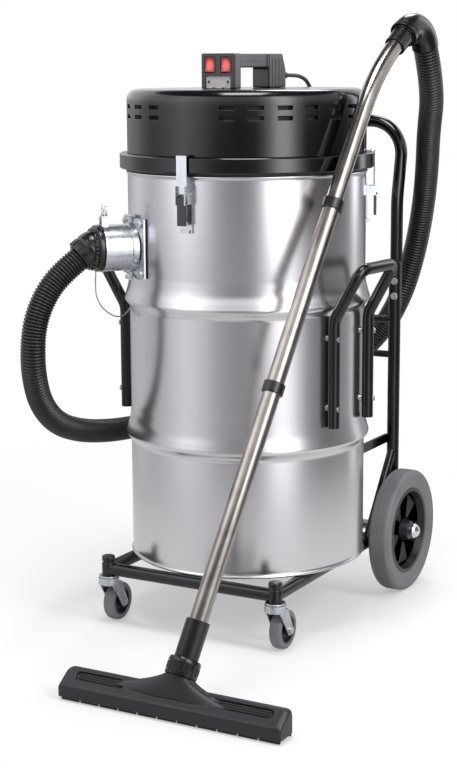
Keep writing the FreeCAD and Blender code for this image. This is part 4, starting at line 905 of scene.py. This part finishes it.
def make_gland():
    """Rubber strain relief: a ribbed taper on the back of the handle."""
    start = extent("cable_gland")[1].y - 34.0
    z = CABLE_ROUTE[0][2]
    outline = [(0, -18), (GLAND_R - 2.1, -18), (GLAND_R - 2.1, 0), (GLAND_R, 0.2), (GLAND_R, 4)]
    ribs = 6
    ribbed = 27.0
    for k in range(ribs):
        y = 5 + ribbed * k / ribs
        r = GLAND_R - 2.8 * (k + 0.5) / ribs
        outline += [(r, y), (r, y + 2.4), (r - 1.1, y + 3.0), (r - 1.1, y + 4.2)]
    outline += [(6.1, 32.5), (6.0, 34.0), (0, 34.0)]
    return turned_piece("strain_relief", [(outline, (0, start, z), (0, 1, 0))], "rubber_black", "head",
                        ["cable_gland"], 32)


strain_relief = make_gland()


# ------------------------------------------------------------------ rows and rings of small parts
def new_group(name, sockets):
    """A Geometry Nodes tree with these inputs, a finish and one output, and its input node."""
    tree = bpy.data.node_groups.new(name, "GeometryNodeTree")
    for socket, kind in (*sockets.items(), ("Finish", "Material")):
        tree.interface.new_socket(socket, in_out="INPUT", socket_type="NodeSocket" + kind)
    tree.interface.new_socket("Geometry", in_out="OUTPUT", socket_type="NodeSocketGeometry")
    return tree, add(tree, "NodeGroupInput")


def painted_copies(tree, given, copies):
    """Ends a tree: its copies become plain mesh in the given finish."""
    joined = add(tree, "GeometryNodeRealizeInstances", {"Geometry": (copies, "Instances")})
    painted = add(tree, "GeometryNodeSetMaterial", {"Geometry": (joined, "Geometry"),
                                                   "Material": (given, "Finish")})
    add(tree, "NodeGroupOutput", {"Geometry": (painted, "Geometry")})
    return tree


def rib_ring_tree():
    """Geometry Nodes: round-backed ribs that stand in a ring about Z."""
    tree, given = new_group("rib_ring", {"Count": "Int", "Ring Radius": "Float", "Rib Radius": "Float",
                                         "Rib Length": "Float"})
    ring = add(tree, "GeometryNodeMeshCircle", {"Vertices": (given, "Count"),
                                               "Radius": (given, "Ring Radius")})
    rib = add(tree, "GeometryNodeMeshCylinder", {"Vertices": 10, "Radius": (given, "Rib Radius"),
                                                "Depth": (given, "Rib Length")})
    placed = add(tree, "GeometryNodeInstanceOnPoints", {"Points": (ring, "Mesh"), "Instance": (rib, "Mesh")})
    return painted_copies(tree, given, placed)


def stud_tree():
    """Geometry Nodes: a domed head on each point, facing along the point's own direction."""
    tree, given = new_group("domed_heads", {"Geometry": "Geometry", "Head Radius": "Float",
                                            "Head Height": "Float"})
    ball = add(tree, "GeometryNodeMeshUVSphere", {"Segments": 16, "Rings": 10, "Radius": 1.0})
    size = add(tree, "ShaderNodeCombineXYZ", {"X": (given, "Head Radius"), "Y": (given, "Head Radius"),
                                             "Z": (given, "Head Height")})
    dome = add(tree, "GeometryNodeTransform", {"Geometry": (ball, "Mesh"), "Scale": (size, "Vector")})
    facing = add(tree, "GeometryNodeInputNamedAttribute", {"Name": "facing"}, data_type="FLOAT_VECTOR")
    turned = add(tree, "FunctionNodeAlignRotationToVector", {"Vector": (facing, "Attribute")}, axis="Z")
    placed = add(tree, "GeometryNodeInstanceOnPoints", {"Points": (given, "Geometry"),
                                                       "Instance": (dome, "Geometry"),
                                                       "Rotation": (turned, "Rotation")})
    return painted_copies(tree, given, placed)


RIB_RING = rib_ring_tree()
DOMED_HEADS = stud_tree()


def grown(name, start_mesh, tree, inputs, finish, body, placed=None):
    """Runs a node tree on a mesh, keeps the result as a plain piece and puts it in its place."""
    obj = link(name, start_mesh)
    grower = obj.modifiers.new("grown", "NODES")
    grower.node_group = tree
    sockets = {item.name: item.identifier for item in tree.interface.items_tree if item.in_out == "INPUT"}
    for key, value in inputs.items():
        grower[sockets[key]] = value
    grower[sockets["Finish"]] = FINISHES[finish]
    bpy.context.view_layer.update()
    baked(obj)
    if placed:
        obj.data.transform(placed)
    shade(obj.data, 50.0)
    return settle(obj, finish, body)


def ribs_round(name, count, ring_radius, rib_radius, length, middle, axis, finish, body):
    """A ring of ribs about an axis, its middle and sizes in millimetres."""
    facing = UP.rotation_difference(Vector(axis)).to_matrix().to_4x4()
    placed = Matrix.Translation(at(*middle)) @ facing
    inputs = {"Count": count, "Ring Radius": ring_radius * MM, "Rib Radius": rib_radius * MM,
              "Rib Length": length * MM}
    return grown(name, bpy.data.meshes.new(name), RIB_RING, inputs, finish, body, placed=placed)


def heads_at(name, seats, radius, height, finish, body):
    """Domed heads on seats, each (point, facing) in millimetres."""
    mesh = bpy.data.meshes.new(name)
    mesh.from_pydata([at(*point) for point, facing in seats], [], [])
    way = mesh.attributes.new("facing", "FLOAT_VECTOR", "POINT")
    for i, (point, facing) in enumerate(seats):
        way.data[i].vector = Vector(facing)
    inputs = {"Head Radius": radius * MM, "Head Height": height * MM}
    return grown(name, mesh, DOMED_HEADS, inputs, finish, body)


# ------------------------------------------------------------------ inlet and hose cuff
def make_cuff():
    """Hose cuff: a thick flange on the spigot, a gripping collar, a knuckle and a drooping sleeve."""
    flange = [(20, -29.5), (SPIGOT_R - 2.4, -29.5), (SPIGOT_R - 2.4, 0.3), (SPIGOT_R - 1.2, 0.3)]
    flange += arc_points((SPIGOT_R - 3, 3.4), 3.0, -60, 0, 4) + arc_points((SPIGOT_R - 3, 8.5), 3.0, 0, 80, 5)
    flange += [(38.6, 12.2), (37.5, 14.0), (36.6, 17.8), (34.0, 18.0), (20, 18.0)]
    sleeve = [(20, -6), (31.6, -6), (33.4, 2), (33.6, 5), (32.4, 7), (32.2, 11), (31.0, 12.5), (30.6, 25),
              (29.4, 28.5), (27.8, 30.0), (20, 30.0)]
    bm = bmesh.new()
    lathe(bm, flange, 72, INLET_MOUTH, INLET_OUT)
    lathe(bm, sleeve, 56, KNUCKLE, CUFF_LEAN)
    ball = arc_points((0, 0), 33.4, -8, 90, 9)
    lathe(bm, [(0, -5)] + ball[:-1] + [(0, 33.4)], 56, KNUCKLE, (INLET_OUT + CUFF_LEAN).normalized())
    cuff = to_mesh("swivel_cuff", bm, 38.0)
    settle(cuff, "cuff_black", "root", ["hose_cuff"])
    bevelled(cuff, 0.5)
    ribs_round("cuff_grip_ribs", 30, 37.0, 1.5, 6.5, INLET_MOUTH + INLET_OUT * 15.0, INLET_OUT,
               "cuff_black", "root")
    ribs_round("cuff_sleeve_ribs", 10, 31.2, 2.2, 16.0, KNUCKLE + CUFF_LEAN * 19.0, CUFF_LEAN,
               "cuff_black", "root")


make_cuff()


def make_inlet_clips():
    """Sheet clips that hook the spigot's plate above and below."""
    across = UP.cross(INLET_OUT)
    bm = bmesh.new()
    wall = DRUM_R + 6.4
    for height, lift in ((INLET_Z + 48, 1), (INLET_Z - 48, -1)):
        base = UP * height + INLET_OUT * wall - across * 11
        slab(bm, base, (across * 22, INLET_OUT * 1.6, UP * lift * 13))
        slab(bm, base + UP * lift * 11.6, (across * 22, INLET_OUT * 9, UP * lift * 1.6))
        slab(bm, base + UP * lift * 5 + INLET_OUT * 8.0, (across * 22, INLET_OUT * 1.6, UP * lift * 8))
    clips = to_mesh("inlet_clips", bm, 30.0)
    settle(clips, "zinc_plate", "root")
    bevelled(clips, 0.5)


make_inlet_clips()
bush_at = INLET_MOUTH - INLET_OUT * 9 + UP * (SPIGOT_R + 13.4)
turned_piece("lock_bush", [([(3.4, 0), (6.4, 0), (6.4, 5.6), (5.2, 6.6), (5.2, 8.4), (4.6, 9.2), (3.4, 9.2)],
                            bush_at, UP)], "brass", "root", segments=32)
plate_seats = []
for sideways in (-1, 1):
    for up in (-1, 1):
        angle = -40.0 + math.degrees(math.asin(sideways * 47.0 / 233.2))
        plate_seats.append((radial(angle) * 241.0 + UP * (INLET_Z + up * 47.0), radial(angle)))
heads_at("inlet_screw_heads", plate_seats, 6.4, 2.2, "zinc_plate", "root")


# ------------------------------------------------------------------ wheels
HUB_R = 88.2


def make_rear_tyre(side):
    """Broad tread with fine rings round it, rounded at both shoulders."""
    low, high = extent("rear_tyre_" + side)
    base = (low.x, (low.y + high.y) / 2, (low.z + high.z) / 2)
    radius = (high.z - low.z) / 2
    width = high.x - low.x
    shoulder = 9.5
    outline = [(HUB_R, 6), (HUB_R + 6, 3.6), (HUB_R + 13, 2.2)]
    outline += arc_points((radius - shoulder, shoulder), shoulder - 0.2, 250, 350, 6)
    rings = 8
    for k in range(rings):
        x = shoulder + (width - 2 * shoulder) * (k + 0.5) / rings
        outline += [(radius, x - 1.2), (radius, x + 0.2), (radius - 1.1, x + 0.6), (radius - 1.1, x + 1.2)]
    outline += arc_points((radius - shoulder, width - shoulder), shoulder - 0.2, 10, 110, 6)
    outline += [(HUB_R + 13, width - 2.2), (HUB_R + 6, width - 3.6), (HUB_R, width - 6)]
    turned_piece("tread_rear_" + side, [(outline, base, (1, 0, 0))], "tyre_grey",
                 "rear_wheel_" + side, ["rear_tyre_" + side], segments=144, sharp=50.0)


def make_caster_tyre(side):
    """Grey tread with a round face."""
    low, high = extent("caster_tyre_" + side)
    middle = (low + high) / 2
    radius = (high.z - low.z) / 2
    half = (high.x - low.x) / 2
    outline = [(26.1, -half + 1), (29, -half)] + arc_points((radius - 7, -half + 7), 7.0, 270, 330, 4)
    outline += [(radius, -2.5), (radius, 2.5)] + arc_points((radius - 7, half - 7), 7.0, 30, 90, 4)
    outline += [(29, half), (26.1, half - 1)]
    turned_piece("tread_caster_" + side, [(outline, middle, (1, 0, 0))], "tyre_grey", "caster_wheel_" + side,
                 ["caster_tyre_" + side], segments=72, sharp=50.0)


for side in ("left", "right"):
    make_rear_tyre(side)
    make_caster_tyre(side)

# dark webs between the spokes of the rear hubs
for side in ("left", "right"):
    low, high = extent("rear_hub_" + side)
    middle = (low + high) / 2
    web = [(21, -3.0), (86, -3.0), (86, 3.0), (21, 3.0)]
    turned_piece("hub_web_" + side, [(web, middle, (1, 0, 0))], "rubber_black", "rear_wheel_" + side,
                 segments=72)
cap_low, cap_high = extent("axle_caps")
cap_middle = Vector((0, (cap_low.y + cap_high.y) / 2, (cap_low.z + cap_high.z) / 2))
axle_end = extent("rear_axle")[1].x
dome = [(0, 0.2), (15.2, 0.2), (15.6, 1.0)] + arc_points((0, -4.8), 16.4, 22, 82, 8)[1:] + [(0, 11.6)]
turned_piece("hub_domes", [(dome, cap_middle + Vector((s * axle_end, 0, 0)), (s, 0, 0)) for s in (-1, 1)],
             "chrome_cap", "root", ["axle_caps"], segments=64)

socket_low, socket_high = extent("caster_sockets")
base = socket_low.z
height = socket_high.z - base
knob = [(0, 0), (12.2, 0), (13.0, 0.8), (13.0, 24), (12.0, 25.5), (11.0, 26.2), (11.0, 28.0), (12.6, 28.8)]
knob += [(12.9, 30.0), (12.9, height - 3.0), (12.0, height - 1.0), (10.2, height), (0, height)]
pivots = [Vector((s * (socket_high.x - 13.0), (socket_low.y + socket_high.y) / 2, base)) for s in (-1, 1)]
turned_piece("caster_knobs", [(knob, pivot, UP) for pivot in pivots], "cuff_black", "root",
             ["caster_sockets"], segments=48, sharp=40.0)

# plugs in the open ends of the frame tubes
plug_dome = [(0, -8), (10.3, -8), (10.3, 0), (12.4, 0.2), (12.4, 1.6), (11.4, 3.0), (7, 4.4), (0, 5.0)]
upright_top = extent("uprights")[1].z
push_low = extent("push_handle")[0]
tops = [(plug_dome, (s * 183.0, 300.0, upright_top), UP) for s in (-1, 1)]
feet = [(plug_dome, (s * 175.0, push_low.y + TUBE_R, push_low.z), -UP) for s in (-1, 1)]
turned_piece("tube_end_plugs", tops + feet, "cuff_black", "root", segments=40)


# ------------------------------------------------------------------ floor head
def flare_section(share):
    """Middle, half width and half depth of the web between bar and neck; 0 at the bar, 1 at the ring."""
    foot = Vector((177.5, -592.0, 26.0))
    top = WAND_FOOT + WAND_AXIS * -49.0
    half_width = 23.0 + 150.0 * (1 - share) ** 1.5
    return foot.lerp(top, share), half_width, 20.5 + 3.0 * share


def make_floor_tool():
    """The moulded floor head: a bar with two long channels, and a web that flares out of the neck."""
    low, high = extent("floor_head")
    y0, y1 = low.y, extent("floor_blades")[1].y + 1.0
    profile = [(y0 + 0.5, 5.2), (y1 - 0.5, 5.2), (y1, 6), (y1, 41), (y1 - 3, 46.5), (y1 - 8, 49),
               (y1 - 16, 49), (y1 - 20, 47.6), (y0 + 4, 29.6), (y0 + 1, 27), (y0, 24)]
    bar = bmesh.new()
    ends = [[bar.verts.new((x, y0 + 8 + (y - y0 - 8) * wide, 5.2 + (z - 5.2) * wide)) for y, z in profile]
            for x, wide in ((low.x, 0.86), (low.x + 3, 0.96), (low.x + 9, 1.0), (high.x - 9, 1.0),
                            (high.x - 3, 0.96), (high.x, 0.86))]
    loft(bar, ends)
    head = to_mesh("moulded_floor_head", bar, 180.0)
    slots = bmesh.new()
    slope = Vector((0, 24, 20)).normalized()
    normal = Vector((0, -slope.z, slope.y))
    for x0, x1 in ((-14.0, 112.0), (243.0, 369.0)):
        centre_y = (y0 + y1) / 2 - 3.0
        base = Vector((0, centre_y, 27 + (centre_y - y0) * 20 / 24 - 3.0))
        ends = arc_points((x1 - 8.5, 0), 8.5, -90, 90, 10) + arc_points((x0 + 8.5, 0), 8.5, 90, 270, 10)
        outline = [base + Vector((x, 0, 0)) + slope * v for x, v in ends]
        loft(slots, [[slots.verts.new(p + normal * depth) for p in outline] for depth in (-6.5, 14.0)])
        lining = bmesh.new()
        slab(lining, base + Vector((x0 + 4, 0, 0)) - slope * 6.0 - normal * 8.0,
             (Vector((x1 - x0 - 8, 0, 0)), slope * 12.0, normal * 3.2))
        for k in range(3):
            slab(lining, base + Vector((x0 + 6, 0, 0)) + slope * (4.0 * k - 4.6) - normal * 5.0,
                 (Vector((x1 - x0 - 12, 0, 0)), slope * 1.2, normal * 1.4))
        settle(to_mesh("channel_lining_%d" % (1 if x0 < 100 else 2), lining, 30.0), "rubber_black",
               "floor_tool")
    carve(head, to_mesh("channels", slots, 180.0))
    web = bmesh.new()
    web.from_mesh(head.data)
    sections = 16
    sides = 48
    rings = []
    for i in range(sections):
        share = 0.22 + 0.78 * i / (sections - 1)
        middle, half_width, half_depth = flare_section(share)
        facing = UP.rotation_difference(UP.lerp(WAND_AXIS, min(1.0, share * 1.1)).normalized())
        around = [round_xy(k, sides) for k in range(sides)]
        rings.append([web.verts.new(at(*(middle + facing @ Vector((half_width * x, half_depth * y, 0)))))
                      for x, y in around])
    loft(web, rings)
    web.to_mesh(head.data)
    web.free()
    one_skin(head, 1.5, 5)
    head.data.shade_smooth()
    settle(head, "head_tool_black", "floor_tool", ["floor_head"])


make_floor_tool()


def make_blades():
    """Front and back rubber strips under the floor head; the front one is notched to let dust in."""
    low, high = extent("floor_blades")
    bm = bmesh.new()
    thick = 5.0
    notches = 10
    gap = 2.6
    pitch = (high.x - low.x) / (notches + 1)
    for k in range(notches + 1):
        start = low.x + pitch * k + (gap / 2 if k else 0)
        stop = low.x + pitch * (k + 1) - (gap / 2 if k < notches else 0)
        block(bm, (start, low.y, low.z), (stop - start, thick, high.z - low.z))
    block(bm, (low.x, high.y - thick, low.z), (high.x - low.x, thick, high.z - low.z))
    teeth = bmesh.new()
    for k in range(notches):
        middle = low.x + pitch * (k + 1)
        block(teeth, (middle - 1.1, low.y - 0.2, low.z + 0.6), (2.2, 3.0, 8.4))
    settle(to_mesh("blade_teeth", teeth, 30.0), "nylon", "floor_tool")
    blades = to_mesh("notched_blades", bm, 30.0)
    settle(blades, "rubber_black", "floor_tool", ["floor_blades"])
    bevelled(blades, 0.4)


make_blades()


def make_swivel_ring():
    """Union ring of the floor head, with finger ribs."""
    start = WAND_FOOT + WAND_AXIS * -53.7
    length = 32.0
    outline = [(19, 0), (26.0, 0), (28.2, 1.4), (28.6, 6), (27.4, 7.4), (27.4, 22), (28.4, 23.5),
               (28.0, 28), (26.0, length - 0.6), (19, length - 0.6)]
    turned_piece("union_ring", [(outline, start, WAND_AXIS)], "cuff_black", "floor_tool",
                 ["floor_swivel_ring"], segments=72)
    ribs_round("union_ring_grips", 18, 26.6, 2.2, 13.0, start + WAND_AXIS * 14.7, WAND_AXIS, "cuff_black",
               "floor_tool")


make_swivel_ring()


# ------------------------------------------------------------------ filter bag
def make_filter_bag():
    """Felt bag hung by its hoop in the drum's mouth: pleated, with a sewn round bottom."""
    low, high = extent("filter_bag")
    top_r, low_r = 219.0, 184.0
    top = high.z - 6.0
    folds, rows, sides = 26, 26, 312
    bm = bmesh.new()
    uv = bm.loops.layers.uv.new("cloth")
    rings = []
    for i in range(rows + 1):
        share = i / rows
        depth = (top - low.z) * share
        r = top_r + (low_r - top_r) * share - 800.0 * max(0.0, share - 0.9) ** 2
        wave = 3.2 * math.sin(math.pi * min(1.0, share * 1.08))
        ring = []
        for k in range(sides):
            a = math.tau * k / sides
            pleat = r - 3.4 + wave * math.sin(folds * a + 1.3 * math.sin(3 * a + share * 2.0))
            ring.append(bm.verts.new((pleat * math.cos(a), pleat * math.sin(a), top - depth)))
        rings.append(ring)
    for r in (150.0, 100.0, 50.0):
        rings.append([bm.verts.new((r * math.cos(a), r * math.sin(a), low.z + 0.6 + 1.5 * math.sin(5 * a)))
                      for a in [math.tau * k / sides for k in range(sides)]])
    for i in range(len(rings) - 1):
        for k in range(sides):
            n = (k + 1) % sides
            face = bm.faces.new((rings[i][k], rings[i + 1][k], rings[i + 1][n], rings[i][n]))
            for loop, (u, v) in zip(face.loops, ((k, i), (k, i + 1), (k + 1, i + 1), (k + 1, i))):
                loop[uv].uv = (u / sides * 1.3, v * 0.012)
    bm.faces.new(rings[-1][::-1])
    bag = thickened(to_mesh("felt_bag", bm, 60.0), 1.6, 1.0, 60.0)
    settle(bag, "filter_cloth", "root", ["filter_bag"])
    hoop = [(top_r - 3.5, 0.2), (DRUM_R - DRUM_WALL - 0.6, 0.2), (DRUM_R - DRUM_WALL - 0.6, 3.4),
            (DRUM_R - DRUM_WALL - 2.4, 5.0), (top_r - 2.0, 5.0), (top_r - 3.5, 3.6)]
    turned_piece("bag_hoop", [(hoop, (0, 0, high.z - 5.0), UP)], "rubber_black", "root",
                 segments=128)


make_filter_bag()


# ------------------------------------------------------------------ switch panel, screws, rivets
def make_label_plate():
    """Blank rating plate under the switches, with two slots in its lower edge."""
    low, high = extent("switch_panel")
    bm = bmesh.new()
    width, height = high.x - low.x, high.z - low.z
    corner = 2.0
    slot_half, slot_deep = 3.0, 1.6
    outline = []
    right, upper = width / 2 - corner, height - corner
    for centre, start in (((right, upper), 0), ((-right, upper), 90), ((-right, corner), 180)):
        outline += arc_points(centre, corner, start, start + 90, 4)
    for x in (-10.0, 10.0):
        x0, x1 = x - slot_half, x + slot_half
        outline += [(x0, 0), (x0, slot_deep), (x1, slot_deep), (x1, 0)]
    outline += arc_points((right, corner), corner, 270, 360, 4)
    loft(bm, [[bm.verts.new((x, y, low.z + z)) for x, z in outline] for y in (low.y, high.y)])
    plate = to_mesh("rating_plate", bm, 30.0)
    settle(plate, "label_grey", "head", ["switch_panel"])
    bevelled(plate, 0.3)
    z = (low.z + high.z) / 2 + 1.0
    heads_at("plate_screws", [((s * 20.0, low.y - 0.1, z), (0, -1, 0)) for s in (-1, 1)], 2.7, 1.0,
             "lever_black", "head")


make_label_plate()


def make_switch_bezels():
    """Thin black frames round the two rockers."""
    bm = bmesh.new()
    for rocker in ("rocker_left", "rocker_right"):
        low, high = extent(rocker)
        face = handle_low.y
        rim, gap = 2.0, 1.3
        x0, x1 = low.x - gap, high.x + gap
        z0, z1 = low.z - gap, high.z + gap
        for x in (x0 - rim, x1):
            block(bm, (x, face - 1.0, z0 - rim), (rim, 1.2, z1 - z0 + 2 * rim))
        for z in (z0 - rim, z1):
            block(bm, (x0, face - 1.0, z), (x1 - x0, 1.2, rim))
    bezels = to_mesh("switch_bezels", bm, 30.0)
    settle(bezels, "handle_black", "head")
    bevelled(bezels, 0.3)


make_switch_bezels()


def make_carry_handle():
    """Moulded handle: switch housing in front, a grip over the finger gap, and a narrow ribbed tail."""
    z0, z1 = handle_low.z, handle_high.z
    y0, y1 = handle_low.y, handle_high.y
    bm = bmesh.new()
    height = z1 - z0
    tail = 58.0
    block(bm, (handle_low.x, y0, z0), (handle_high.x - handle_low.x, 27.0, height))
    block(bm, (-22, y0 + 20, z0), (44, 12.0, height))
    block(bm, (-15, y0 + 20, z1 - 26.5), (30, 165.0, 26.0))
    block(bm, (-19, tail, z0), (38, 52.0, height))
    side = [(tail, z0), (y1, z0), (y1, z0 + 34), (y1 - 14, z1), (tail, z1)]
    loft(bm, [[bm.verts.new((x, y, z)) for y, z in side] for x in (-18.5, 18.5)])
    handle = to_mesh("moulded_handle", bm, 180.0)
    one_skin(handle, 1.4, 6)
    pockets = bmesh.new()
    for node, below, above in (("rocker_left", (1.1, 6.0, 1.7), (1.1, 5.5, 1.7)),
                               ("rocker_right", (1.1, 6.0, 1.7), (1.1, 5.5, 1.7)),
                               ("switch_panel", (0.6, 6.0, 3.0), (0.6, 0.2, 0.6))):
        low, high = extent(node)
        block(pockets, low - Vector(below), high + Vector(above) - low + Vector(below))
    carve(handle, to_mesh("handle_pockets", pockets, 180.0), 40.0)
    settle(handle, "handle_black", "head", ["carry_handle"])
    ribs = bmesh.new()
    for s in (-1, 1):
        for y in (70.0, 84.0, 98.0):
            block(ribs, (s * 18.0, y, z0 + 3), (s * 1.6, 3.0, 52.0))
        block(ribs, (s * 14.4, -74.0, z1 - 15), (s * 1.4, 128.0, 2.4))
    ridges = to_mesh("handle_ridges", ribs, 30.0)
    settle(ridges, "handle_black", "head")
    bevelled(ridges, 0.5)


make_carry_handle()

LATCH_TURNS = (0.0, -120.0, 120.0)
rivet_seats = []
for turn in LATCH_TURNS:
    side = UP.cross(radial(turn))
    for sideways in (-7.0, 7.0):
        rivet_seats.append((radial(turn) * (DRUM_R + 3.3) + side * sideways + UP * 842.0, radial(turn)))
    rivet_seats.append((radial(turn) * (DRUM_R + 3.3) + UP * 790.0, radial(turn)))
heads_at("latch_rivets", rivet_seats, 2.4, 1.2, "zinc_plate", "root")


# ------------------------------------------------------------------ stage and light
def make_floor():
    """A pale floor that fades to plain white away from the machine."""
    bm = bmesh.new()
    bmesh.ops.create_circle(bm, cap_ends=True, radius=14.0, segments=64)
    mesh = bpy.data.meshes.new("studio_floor")
    bm.to_mesh(mesh)
    bm.free()
    material, tree, shader = new_finish("studio_paper", "#F3F2F0", 0.9)
    place = add(tree, "ShaderNodeTexCoord")
    away = add(tree, "ShaderNodeVectorMath", {0: (place, "Object")}, operation="LENGTH")
    fade = add(tree, "ShaderNodeMapRange", {"Value": (away, "Value"), "From Min": 0.6, "From Max": 1.9,
                                           "To Min": 0.38}, interpolation_type="SMOOTHSTEP")
    rays = add(tree, "ShaderNodeLightPath")
    power = add(tree, "ShaderNodeMapRange", {"Value": (rays, "Is Camera Ray"), "To Min": 0.45, "To Max": 1.0})
    white = add(tree, "ShaderNodeEmission", {"Color": (1.0, 1.0, 1.0, 1.0), "Strength": (power, "Result")})
    mixed = add(tree, "ShaderNodeMixShader", {"Fac": (fade, "Result"), 1: (shader, "BSDF"),
                                             2: (white, "Emission")})
    tree.links.new(mixed.outputs["Shader"], tree.nodes["Material Output"].inputs["Surface"])
    mesh.materials.append(material)
    link("studio_floor", mesh)


# what the steel mirrors: how bright the studio's wall is, by degrees from the front towards +X
WALL_LIGHT = ((-180, 0.26), (-150, 0.27), (-118, 0.4), (-90, 0.56), (-66, 0.45), (-50, 0.55), (-28, 0.78),
              (-10, 0.6), (4, 0.36), (22, 0.26), (36, 0.3), (46, 0.75), (55, 1.35), (64, 1.35), (73, 0.75),
              (82, 0.28), (100, 0.15), (122, 0.22), (138, 0.3), (143, 0.9), (149, 0.9), (154, 0.32),
              (180, 0.26))
WALL_RADIUS = 1.35
WALL_HEIGHT = 2.1


def make_reflector_wall():
    """A round wall of soft panels and dark flags that only the gloss of the surfaces sees."""
    bm = bmesh.new()
    sides = 180
    loft(bm, [[bm.verts.new(CENTRE + radial(360 * k / sides) * WALL_RADIUS + UP * z) for k in range(sides)]
              for z in (0.0, WALL_HEIGHT)], caps=False)
    mesh = bpy.data.meshes.new("reflector_wall")
    bm.to_mesh(mesh)
    bm.free()
    material = bpy.data.materials.new("reflector_cloth")
    material.use_nodes = True
    tree = material.node_tree
    tree.nodes.remove(tree.nodes["Principled BSDF"])
    place = add(tree, "ShaderNodeTexCoord")
    centred = add(tree, "ShaderNodeMapping", {"Vector": (place, "Object"), "Location": -CENTRE})
    parts = add(tree, "ShaderNodeSeparateXYZ", {"Vector": (centred, "Vector")})
    front = add(tree, "ShaderNodeMath", {0: (parts, "Y"), 1: -1.0}, operation="MULTIPLY")
    turn = add(tree, "ShaderNodeMath", {0: (parts, "X"), 1: (front, 0)}, operation="ARCTAN2")
    share = add(tree, "ShaderNodeMapRange", {"Value": (turn, 0), "From Min": -math.pi, "From Max": math.pi})
    ramp = add(tree, "ShaderNodeValToRGB", {"Fac": (share, "Result")})
    stops = ramp.color_ramp.elements
    while len(stops) < len(WALL_LIGHT):
        stops.new(0.5)
    for stop, (deg, light) in zip(stops, WALL_LIGHT):
        stop.position = (deg + 180) / 360
        stop.color = (light / 2, light / 2, light / 2, 1.0)
    lift = add(tree, "ShaderNodeMapRange", {"Value": (parts, "Z"), "From Min": 0.6, "From Max": 0.78},
               interpolation_type="SMOOTHSTEP")
    power = add(tree, "ShaderNodeMapRange", {"Value": (lift, "Result"), "To Min": 1.0, "To Max": 2.1})
    share = add(tree, "ShaderNodeMath", {0: (ramp, "Color"), 1: 2.0}, operation="MULTIPLY")
    light = add(tree, "ShaderNodeMath", {0: (share, 0), 1: (power, "Result")}, operation="POWER")
    gain = add(tree, "ShaderNodeMapRange", {"Value": (lift, "Result"), "To Min": 1.25, "To Max": 3.0})
    panel = add(tree, "ShaderNodeMapRange", {"Value": (parts, "Z"), "From Min": 0.92, "From Max": 1.15,
                                            "To Max": 0.9}, interpolation_type="SMOOTHSTEP")
    strength = add(tree, "ShaderNodeMath", {0: (light, 0), 1: (gain, "Result"), 2: (panel, "Result")},
                   operation="MULTIPLY_ADD")
    glow = add(tree, "ShaderNodeEmission", {"Color": (0.98, 0.98, 1.0, 1.0), "Strength": (strength, 0)})
    tree.links.new(glow.outputs["Emission"], tree.nodes["Material Output"].inputs["Surface"])
    mesh.materials.append(material)
    wall = link("reflector_wall", mesh)
    wall.visible_camera = False
    wall.visible_diffuse = False
    wall.visible_transmission = False
    wall.visible_shadow = False


def soft_light(name, place, aim, size, power):
    """A square soft box, out of the camera's sight."""
    lamp = bpy.data.lights.new(name, "AREA")
    lamp.shape = "SQUARE"
    lamp.size = size
    lamp.energy = power
    obj = bpy.data.objects.new(name, lamp)
    obj.location = CENTRE + Vector(place)
    obj.rotation_mode = "QUATERNION"
    obj.rotation_quaternion = (Vector(aim) - Vector(place)).to_track_quat("-Z", "Y")
    obj.visible_camera = False
    bpy.context.scene.collection.objects.link(obj)


def make_world():
    """Plain white round the camera, mid grey for everything that the surfaces see."""
    world = bpy.data.worlds.new("studio")
    world.use_nodes = True
    bpy.context.scene.world = world
    tree = world.node_tree
    tree.nodes.clear()
    rays = add(tree, "ShaderNodeLightPath")
    white = add(tree, "ShaderNodeBackground", {"Color": (1.0, 1.0, 1.0, 1.0), "Strength": 1.0})
    fill = add(tree, "ShaderNodeBackground", {"Color": (0.95, 0.97, 1.0, 1.0), "Strength": 0.62})
    dark = add(tree, "ShaderNodeBackground", {"Color": (0.95, 0.97, 1.0, 1.0), "Strength": 0.1})
    seen = add(tree, "ShaderNodeMixShader", {"Fac": (rays, "Is Glossy Ray"), 1: (fill, "Background"),
                                            2: (dark, "Background")})
    mixed = add(tree, "ShaderNodeMixShader", {"Fac": (rays, "Is Camera Ray"), 1: (seen, "Shader"),
                                             2: (white, "Background")})
    add(tree, "ShaderNodeOutputWorld", {"Surface": (mixed, "Shader")})


make_floor()
make_reflector_wall()
make_world()
soft_light("overhead", (0.2, -0.5, 2.9), (0, 0, 0.4), 0.9, 31.0)
soft_light("key", (2.6, -0.6, 2.4), (0, 0, 0.4), 1.0, 36.0)
soft_light("top_edge", (-0.3, 1.6, 2.6), (0, 0, 1.0), 0.7, 22.0)
